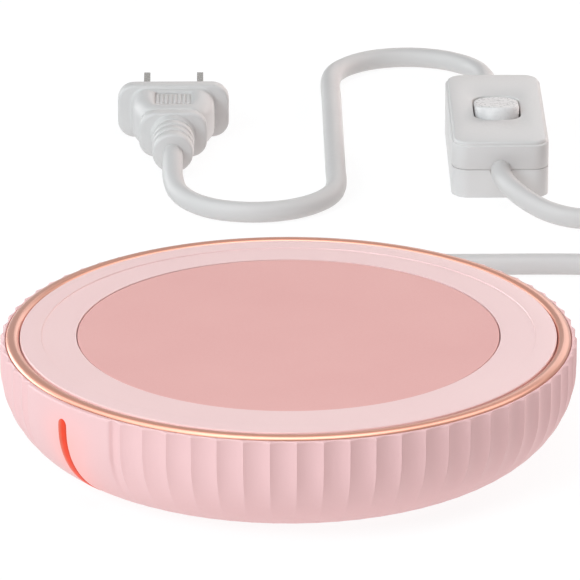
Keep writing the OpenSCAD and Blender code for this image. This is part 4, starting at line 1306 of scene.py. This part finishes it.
@dataclass
class InlineSwitch:
    """The housing and rocker of the in-line switch. Sizes are in mm."""

    x: float = 51.0
    y: float = 175.0
    width: float = 22.5
    length: float = 50.0
    height: float = 13.5
    corner: float = 4.0
    wall: float = 1.8
    rocker_w: float = 10.4
    swing_r: float = 8.35
    pivot_z: float = 10.2
    tilt: float = -9.0
    top: float = 4.1
    skirt: float = 1.8
    dish: float = 46.0
    edge: float = 0.42
    narrow: float = 0.87
    parting: float = 0.03
    window_gap: Point = (0.6, 0.4)
    window_corner: float = 3.6

    def level(self, inset: float, z: float, size: Point | None = None, corner: float | None = None) -> Loop:
        """Draw one loop of the housing or its window.

        Args:
            inset: How far it lies inside the outline.
            z: Its height.
            size: The outline's width and length, if not the housing's.
            corner: The outline's corner radius, if not the housing's.

        Returns:
            The loop.
        """
        w, l = size or (self.width, self.length)
        # An inset loop's corners keep a little more radius than a parallel outline's.
        r = (corner or self.corner) - inset * 0.8
        outline = soft_outline(w - 2 * inset, l - 2 * inset, r)
        return [row(self.x + px, self.y + py, z) for px, py in outline]

    def cover(self) -> Object:
        """Make the cover: a hollow half with a narrow step round its face and a window.

        Returns:
            The cover.
        """
        h, inside, split = self.height, self.height - self.wall, self.height / 2
        gap_w, gap_l = self.window_gap
        window = (self.rocker_w + gap_w, 2 * self.swing_r + gap_l)
        # Insets and heights: up the side, over the step and the face, then down the window's rim.
        outer = [(0.15, split + self.parting), (0, split + 0.2), (0, h - 1.15), (0.08, h - 0.97),
                 (0.25, h - 0.9), (0.42, h - 0.86), (0.47, h - 0.75), (0.47, h - 0.5), (0.6, h - 0.2),
                 (0.8, h - 0.06), (1.05, h)]
        rim = [(-0.25, h), (-0.08, h - 0.07), (0, h - 0.25), (0, inside)]
        loops = [self.level(i, z) for i, z in outer]
        loops += [self.level(i, z, window, self.window_corner) for i, z in rim]
        loops += [self.level(self.wall, inside), self.level(self.wall, split + self.parting)]
        obj = stacked("switch_upper_half", loops, SWITCH_ABS.material(), ring=True, sharp=50)
        return settle(obj, Body.WARMER, "switch_plastic", "switch_cover")

    def put(self, x: float, y: float, z: float) -> Vector:
        """Tilt a point of the rocker about its pivot and place it."""
        c, s = math.cos(math.radians(self.tilt)), math.sin(math.radians(self.tilt))
        return row(self.x + x, self.y + y * c - z * s, self.pivot_z + y * s + z * c)

    def face(self, y: float) -> float:
        """Height of the rocker's dished face over the pivot."""
        return self.top + self.dish - math.sqrt(self.dish**2 - y * y)

    def reach(self, z: float) -> float:
        """Share of its length that the rocker has at a height, on the arc that its ends follow."""
        return math.sqrt(self.swing_r**2 - z * z) / self.swing_r

    def rocker(self) -> Object:
        """Make the rocker: ends on an arc about its pivot, a dished face and eased edges.

        Returns:
            The rocker.
        """
        outline = soft_outline(self.rocker_w, 2 * self.swing_r, self.rocker_w / 2 - 0.2)
        loops = []
        for share in (0, 0.15, 0.3, 0.45, 0.6, 0.75, 0.88, 1):
            loop = []
            for x, y in outline:
                z = (1 - share) * -self.skirt + share * (self.face(self.narrow * y) - self.edge)
                loop.append(self.put(x, y * self.reach(z), z))
            loops.append(loop)
        # Scale and drop of the loops over the eased edge, then across the face.
        over = ((0.988, 0.2), (0.958, 0.06), (0.91, 0), (0.75, 0), (0.5, 0), (0.25, 0), (0.02, 0))
        for scale, drop in over:
            loop = []
            for x, y in outline:
                y *= scale * self.reach(self.face(self.narrow * y) - drop)
                loop.append(self.put(x * scale, y, self.face(y) - drop))
            loops.append(loop)
        obj = stacked("switch_rocker_cap", loops, ROCKER_ABS.material(), sharp=50)
        return settle(obj, Body.ROCKER, "rocker_plastic", "switch_rocker")

    def build(self) -> list[Object]:
        """Make the switch.

        Returns:
            Every piece and CAD node that is on the cord here.
        """
        return [self.cover(), self.rocker(), *dress(SWITCH_ABS, "switch_base"),
                *dress(BRASS, "see_saw_contact", "pivot_terminal", "end_terminal", "rocker_plunger"),
                *dress(ZINC, "terminal_screws", "switch_screws", "rocker_spring"),
                *dress(CORD_PVC, "switch_cord_ends")]


# ---------------------------------------------------------------- plug

# The grip from the relief to the face: how far past the relief, width, height and corner in mm.
GRIP = (
    (-0.25, 10.4, 10.4, 5.2), (0, 11.0, 10.4, 5.0), (0.05, 14.6, 10.2, 4.4), (0.3, 15.7, 10.8, 4.2),
    (0.7, 16.0, 11.0, 4.0), (3.0, 16.0, 11.0, 4.0), (3.35, 15.7, 10.7, 3.9), (3.5, 14.9, 10.0, 3.9),
    (3.55, 14.4, 9.6, 3.8), (4.7, 14.4, 9.6, 3.8), (4.8, 14.7, 10.0, 3.6), (5.1, 15.1, 10.3, 3.5),
    (6.8, 16.6, 10.7, 3.5), (9.0, 18.4, 11.1, 3.5), (11.2, 19.3, 11.35, 3.5), (13.5, 19.5, 11.4, 3.5),
    (16.6, 19.5, 11.4, 3.5), (17.2, 20.0, 11.6, 3.6), (17.45, 21.2, 12.0, 3.8), (17.5, 25.2, 12.4, 3.9),
    (17.7, 26.1, 12.8, 4.0), (18.1, 26.4, 13.0, 4.0), (20.6, 26.4, 13.0, 4.0), (21.05, 26.1, 12.7, 3.9),
    (21.3, 25.3, 12.0, 3.6))


@dataclass
class Plug:
    """The moulded two-blade plug. Sizes are in mm."""

    x: float = -25.0
    y: float = 163.0
    z: float = 6.5
    relief: float = 13.0
    grooves: int = 3
    groove_at: float = 3.2
    groove_pitch: float = 3.3
    groove_d: float = 7.6
    relief_d: float = 9.8
    relief_growth: float = 0.17
    panel_at: float = 11.5
    panel_w: float = 8.6
    panel_l: float = 8.0
    panel_floor: float = 5.15
    rib_count: int = 8
    rib_pitch: float = 1.05

    def put(self, x: float, y: float, z: float) -> Vector:
        """Place a point of the plug, whose axis is y from the cord to the blades."""
        return row(self.x + x, self.y + y, self.z + z)

    def station(self, y: float, width: float, height: float, corner: float) -> Loop:
        """One loop across the plug."""
        return [self.put(px, y, pz) for px, pz in soft_outline(width, height, corner)]

    def body(self) -> Object:
        """Make the moulding: grooved relief, collar, waisted grip and face flange.

        Returns:
            The moulding, with a sunk panel on each side of the grip.
        """
        # The relief's round stations: its eased end, then down into each groove and up again.
        rounds = [(0, 8.4), (0.15, 9.1), (0.5, 9.5)]
        for i in range(self.grooves):
            y, d = self.groove_at + self.groove_pitch * i, self.relief_d + self.relief_growth * i
            rounds += [(y - 0.2, d), (y - 0.02, d - 0.3), (y + 0.06, self.groove_d),
                       (y + 0.84, self.groove_d), (y + 0.92, d - 0.25), (y + 1.1, d)]
        loops = [self.station(y, d, d, d / 2) for y, d in rounds]
        loops += [self.station(self.relief + y, *size) for y, *size in GRIP]
        obj = stacked("plug_moulding", loops, PLUG_PVC.material(), sharp=55)
        panel = soft_outline(self.panel_w, self.panel_l, 0.8, 4)
        for side in (-1, 1):
            loops = [[self.put(px, self.relief + self.panel_at + py, side * pz) for px, py in panel]
                     for pz in (self.panel_floor, 8.0)]
            tool = stacked("panel_tool", loops, PLUG_PVC.material())
            cut = obj.modifiers.new("panel", "BOOLEAN")
            cut.operation, cut.solver, cut.object = "DIFFERENCE", "EXACT", tool
            keep_result(obj, cut)
            bpy.data.objects.remove(tool)
        return settle(obj, Body.WARMER, "plug_pvc", "plug_body")

    def ribs(self) -> Object:
        """Make the finger ribs in the sunk panels, one bar repeated across each.

        Returns:
            The ribs.
        """
        tree, take = start_tree("rib_rows", {"Count": "NodeSocketInt", "Pitch": "NodeSocketVector",
                                             "Material": "NodeSocketMaterial"})
        line = add(tree, "GeometryNodeMeshLine", {"Count": take["Count"], "Offset": take["Pitch"]})
        rows = add(tree, "GeometryNodeInstanceOnPoints", {"Points": line, "Instance": take[0]})
        end_tree(tree, rows, take["Material"])
        first = -self.rib_pitch * (self.rib_count - 1) / 2
        # Across a rib, from under the panel's floor over its eased top, and its ends along the plug.
        shape = [(-0.32, 4.9), (-0.32, 5.3), (-0.2, 5.42), (0.2, 5.42), (0.32, 5.3), (0.32, 4.9)]
        ends = ((-3.5, 0.35), (-3.2, 0.0), (3.2, 0.0), (3.5, 0.35))
        verts, faces = [], []
        n = len(shape)
        for side in (-1, 1):
            base = len(verts)
            for y, drop in ends:
                verts += [self.put(first + px, self.relief + self.panel_at + y,
                                   side * (pz - (drop if pz > 5 else 0))) for px, pz in shape]
            for i in range(base, base + 3 * n, n):
                faces += [[i + k, i + (k + 1) % n, i + n + (k + 1) % n, i + n + k] for k in range(n)]
            faces += [range(base, base + n), range(base + 3 * n, base + 4 * n)]
        material = PLUG_PVC.material()
        obj = piece("finger_ribs", verts, faces, material)
        run_tree(obj, tree, {"Count": self.rib_count, "Pitch": tuple(row(self.rib_pitch, 0, 0)),
                             "Material": material})
        return settle(obj, Body.WARMER, "plug_pvc")

    def build(self) -> list[Object]:
        """Make the plug.

        Returns:
            Every piece and CAD node of the plug.
        """
        return [self.body(), self.ribs(), *dress(NICKEL, "plug_blades"), *dress(SWITCH_ABS, "plug_core")]


# ---------------------------------------------------------------- inside and underside

INSIDE = (
    (SHELL_PP, "base_cover"),
    (FOOT_SILICONE, "rubber_feet"),
    (ZINC, "case_screws", "clamp_screws", "board_screws", "clamp_bar_screws"),
    (GASKET, "plate_gasket"),
    (MICA, "heater_disc", "thermal_fuse"),
    (FIBRE, "insulation_pad"),
    (PRESSED_STEEL, "clamp_plate", "fuse_clip"),
    (PRESSED_ALUMINIUM, "heat_shield"),
    (DARK_RESIN, "thermostat", "board_triac", "board_chip"),
    (BOARD, "led_board", "control_board"),
    (LED_LENS, "leds"),
    (YELLOW_FILM, "board_capacitor"),
    (GREEN_TERMINAL, "terminal_block"),
    (WIRE_SLEEVE, "heater_leads"),
    (RED_WIRE, "led_leads"),
    (CORD_PVC, "inner_cord"),
    (TIE_NYLON, "cord_clamp"))


# ---------------------------------------------------------------- studio


class Seen(Enum):
    """Where a lamp counts, as (on matte surfaces, in reflections)."""

    BOTH = (True, True)
    MATTE = (True, False)
    SHINE = (False, True)


@dataclass(frozen=True)
class Lamp:
    """A softbox that faces the object. Its azimuth counts from the camera's, and it is in metres."""

    name: str
    azimuth: float
    elevation: float
    distance: float
    size: Point
    watts: float
    seen: Seen = Seen.BOTH
    colour: str = "#FFFFFF"


LAMPS = (
    Lamp("key_softbox", -50, 35, 1.1, (0.7, 0.5), 8.8, Seen.MATTE, "#E0F3F9"),
    Lamp("key_card", -50, 43, 1.1, (1.0, 0.8), 3.6, Seen.SHINE),
    Lamp("overhead_card", 0, 82, 1.0, (1.3, 1.1), 3.6, Seen.SHINE),
    Lamp("left_card", -112, 47, 1.1, (0.7, 0.6), 1.7, Seen.SHINE),
    Lamp("right_card", 112, 47, 1.1, (0.7, 0.6), 1.7, Seen.SHINE),
    Lamp("rim_softbox", 138, 14, 1.1, (0.5, 0.4), 7.0, Seen.MATTE, "#FFF6F4"),
    Lamp("overhead_softbox", 0, 80, 1.05, (0.9, 0.8), 3.7),
    Lamp("rear_card", 162, 21, 1.2, (0.62, 0.32), 0.7, Seen.SHINE),
    Lamp("rear_left_card", -125, 12, 1.2, (1.0, 0.6), 5.5, Seen.SHINE))


@dataclass
class Studio:
    """Camera, pale floor, white room and soft lights. Sizes are in metres."""

    distance: float = 1.3
    azimuth: float = 49.8
    elevation: float = 20.93
    aim_z: float = 0.02423
    lens: float = 387.9
    shift: Point = (0.0027, 0.0724)
    fill: float = 0.28
    shine: float = 0.58
    paper: str = "#F4F4F4"
    paper_roughness: float = 0.9
    paper_half: float = 12.0
    paper_gap: float = 0.0002
    paper_glow: float = 1.06
    bounce: float = 0.64
    bounce_seen: float = 0.82

    def stand(self, name: str, data: bpy.types.ID, azimuth: float, elevation: float, distance: float,
              middle: Vector) -> Object:
        """Stand a camera or lamp round a point, facing it.

        Args:
            name: The object's name.
            data: Its camera or lamp.
            azimuth: Its place round the point, in degrees.
            elevation: Its height, in degrees.
            distance: Its distance.
            middle: The point.

        Returns:
            The new object.
        """
        a, e = math.radians(azimuth), math.radians(elevation)
        back = Vector((math.sin(a) * math.cos(e), -math.cos(a) * math.cos(e), math.sin(e)))
        obj = bpy.data.objects.new(name, data)
        obj.location = middle + back * distance
        obj.rotation_euler = (-back).to_track_quat("-Z", "Y").to_euler()
        bpy.context.scene.collection.objects.link(obj)
        return obj

    def camera(self) -> None:
        """Make the camera: a long lens, a little above the top."""
        data = bpy.data.cameras.new("studio_camera")
        data.lens = self.lens
        data.sensor_width = 36.0
        data.shift_x, data.shift_y = self.shift
        data.clip_start, data.clip_end = 0.05, 50
        bpy.context.scene.camera = self.stand("studio_camera", data, self.azimuth, self.elevation,
                                              self.distance, Vector((0, 0, self.aim_z)))

    def light(self, lamp: Lamp) -> None:
        """Add a lamp.

        Args:
            lamp: The lamp.
        """
        data = bpy.data.lights.new(lamp.name, "AREA")
        data.shape = "RECTANGLE"
        data.size, data.size_y = lamp.size
        data.energy = lamp.watts
        data.color = linear(lamp.colour)[:3]
        obj = self.stand(lamp.name, data, self.azimuth + lamp.azimuth, lamp.elevation, lamp.distance,
                         Vector())
        obj.visible_diffuse, obj.visible_glossy = lamp.seen.value

    def seen_directly(self, tree: Tree) -> Node:
        """Tell the rays that come from the camera, straight or through something clear.

        Args:
            tree: The tree that asks.

        Returns:
            A node that gives 1 for those rays and 0 for the rest.
        """
        rays = add(tree, "ShaderNodeLightPath").outputs
        return add(tree, MATH, {0: rays["Is Camera Ray"], 1: rays["Is Transmission Ray"]},
                   operation="MAXIMUM")

    def floor(self) -> None:
        """Make the white floor, which keeps a soft shadow under the object."""
        made, tree, shader = start_material("white_paper_floor")
        feed(tree, shader, {"Base Color": linear(self.paper), "Roughness": self.paper_roughness})
        light = add(tree, "ShaderNodeEmission", {"Strength": self.paper_glow})
        share = add(tree, MIX, {0: self.seen_directly(tree), 2: self.bounce, 3: self.bounce_seen})
        both = add(tree, "ShaderNodeMixShader", {0: share, 1: shader, 2: light})
        feed(tree, tree.nodes["Material Output"], {"Surface": both})
        half = self.paper_half
        verts = [Vector((x * half, y * half, -self.paper_gap))
                 for x, y in ((-1, -1), (1, -1), (1, 1), (-1, 1))]
        piece("floor", verts, [(0, 1, 2, 3)], made, fix=False)

    def room(self) -> None:
        """Make the room: white where the camera sees it, and a plain soft fill for the rest."""
        world = bpy.data.worlds.new("studio")
        world.use_nodes = True
        bpy.context.scene.world = world
        tree = world.node_tree
        glossy = add(tree, "ShaderNodeLightPath").outputs["Is Glossy Ray"]
        light = add(tree, MIX, {0: glossy, 2: self.fill, 3: self.shine})
        light = add(tree, MIX, {0: self.seen_directly(tree), 2: light, 3: 1.0})
        feed(tree, tree.nodes["Background"], {"Color": (1, 1, 1, 1), "Strength": light})

    def build(self) -> None:
        """Make the whole studio."""
        bpy.context.scene.view_settings.view_transform = "Standard"
        self.camera()
        self.floor()
        self.room()
        for lamp in LAMPS:
            self.light(lamp)


def main() -> None:
    """Build the studio, then every sub-assembly."""
    logging.basicConfig(level=logging.INFO, format="%(name)s: %(message)s")
    Studio().build()
    coil = Coil()
    Cords(coil).build(StrainRelief().build(), coil.tie(), InlineSwitch().build(), Plug().build())
    shell = FlutedShell()
    shell.build()
    LightBar(shell).build()
    TopStack().build()
    for finish, *nodes in INSIDE:
        dress(finish, *nodes)


if __name__ == "__main__":
    main()
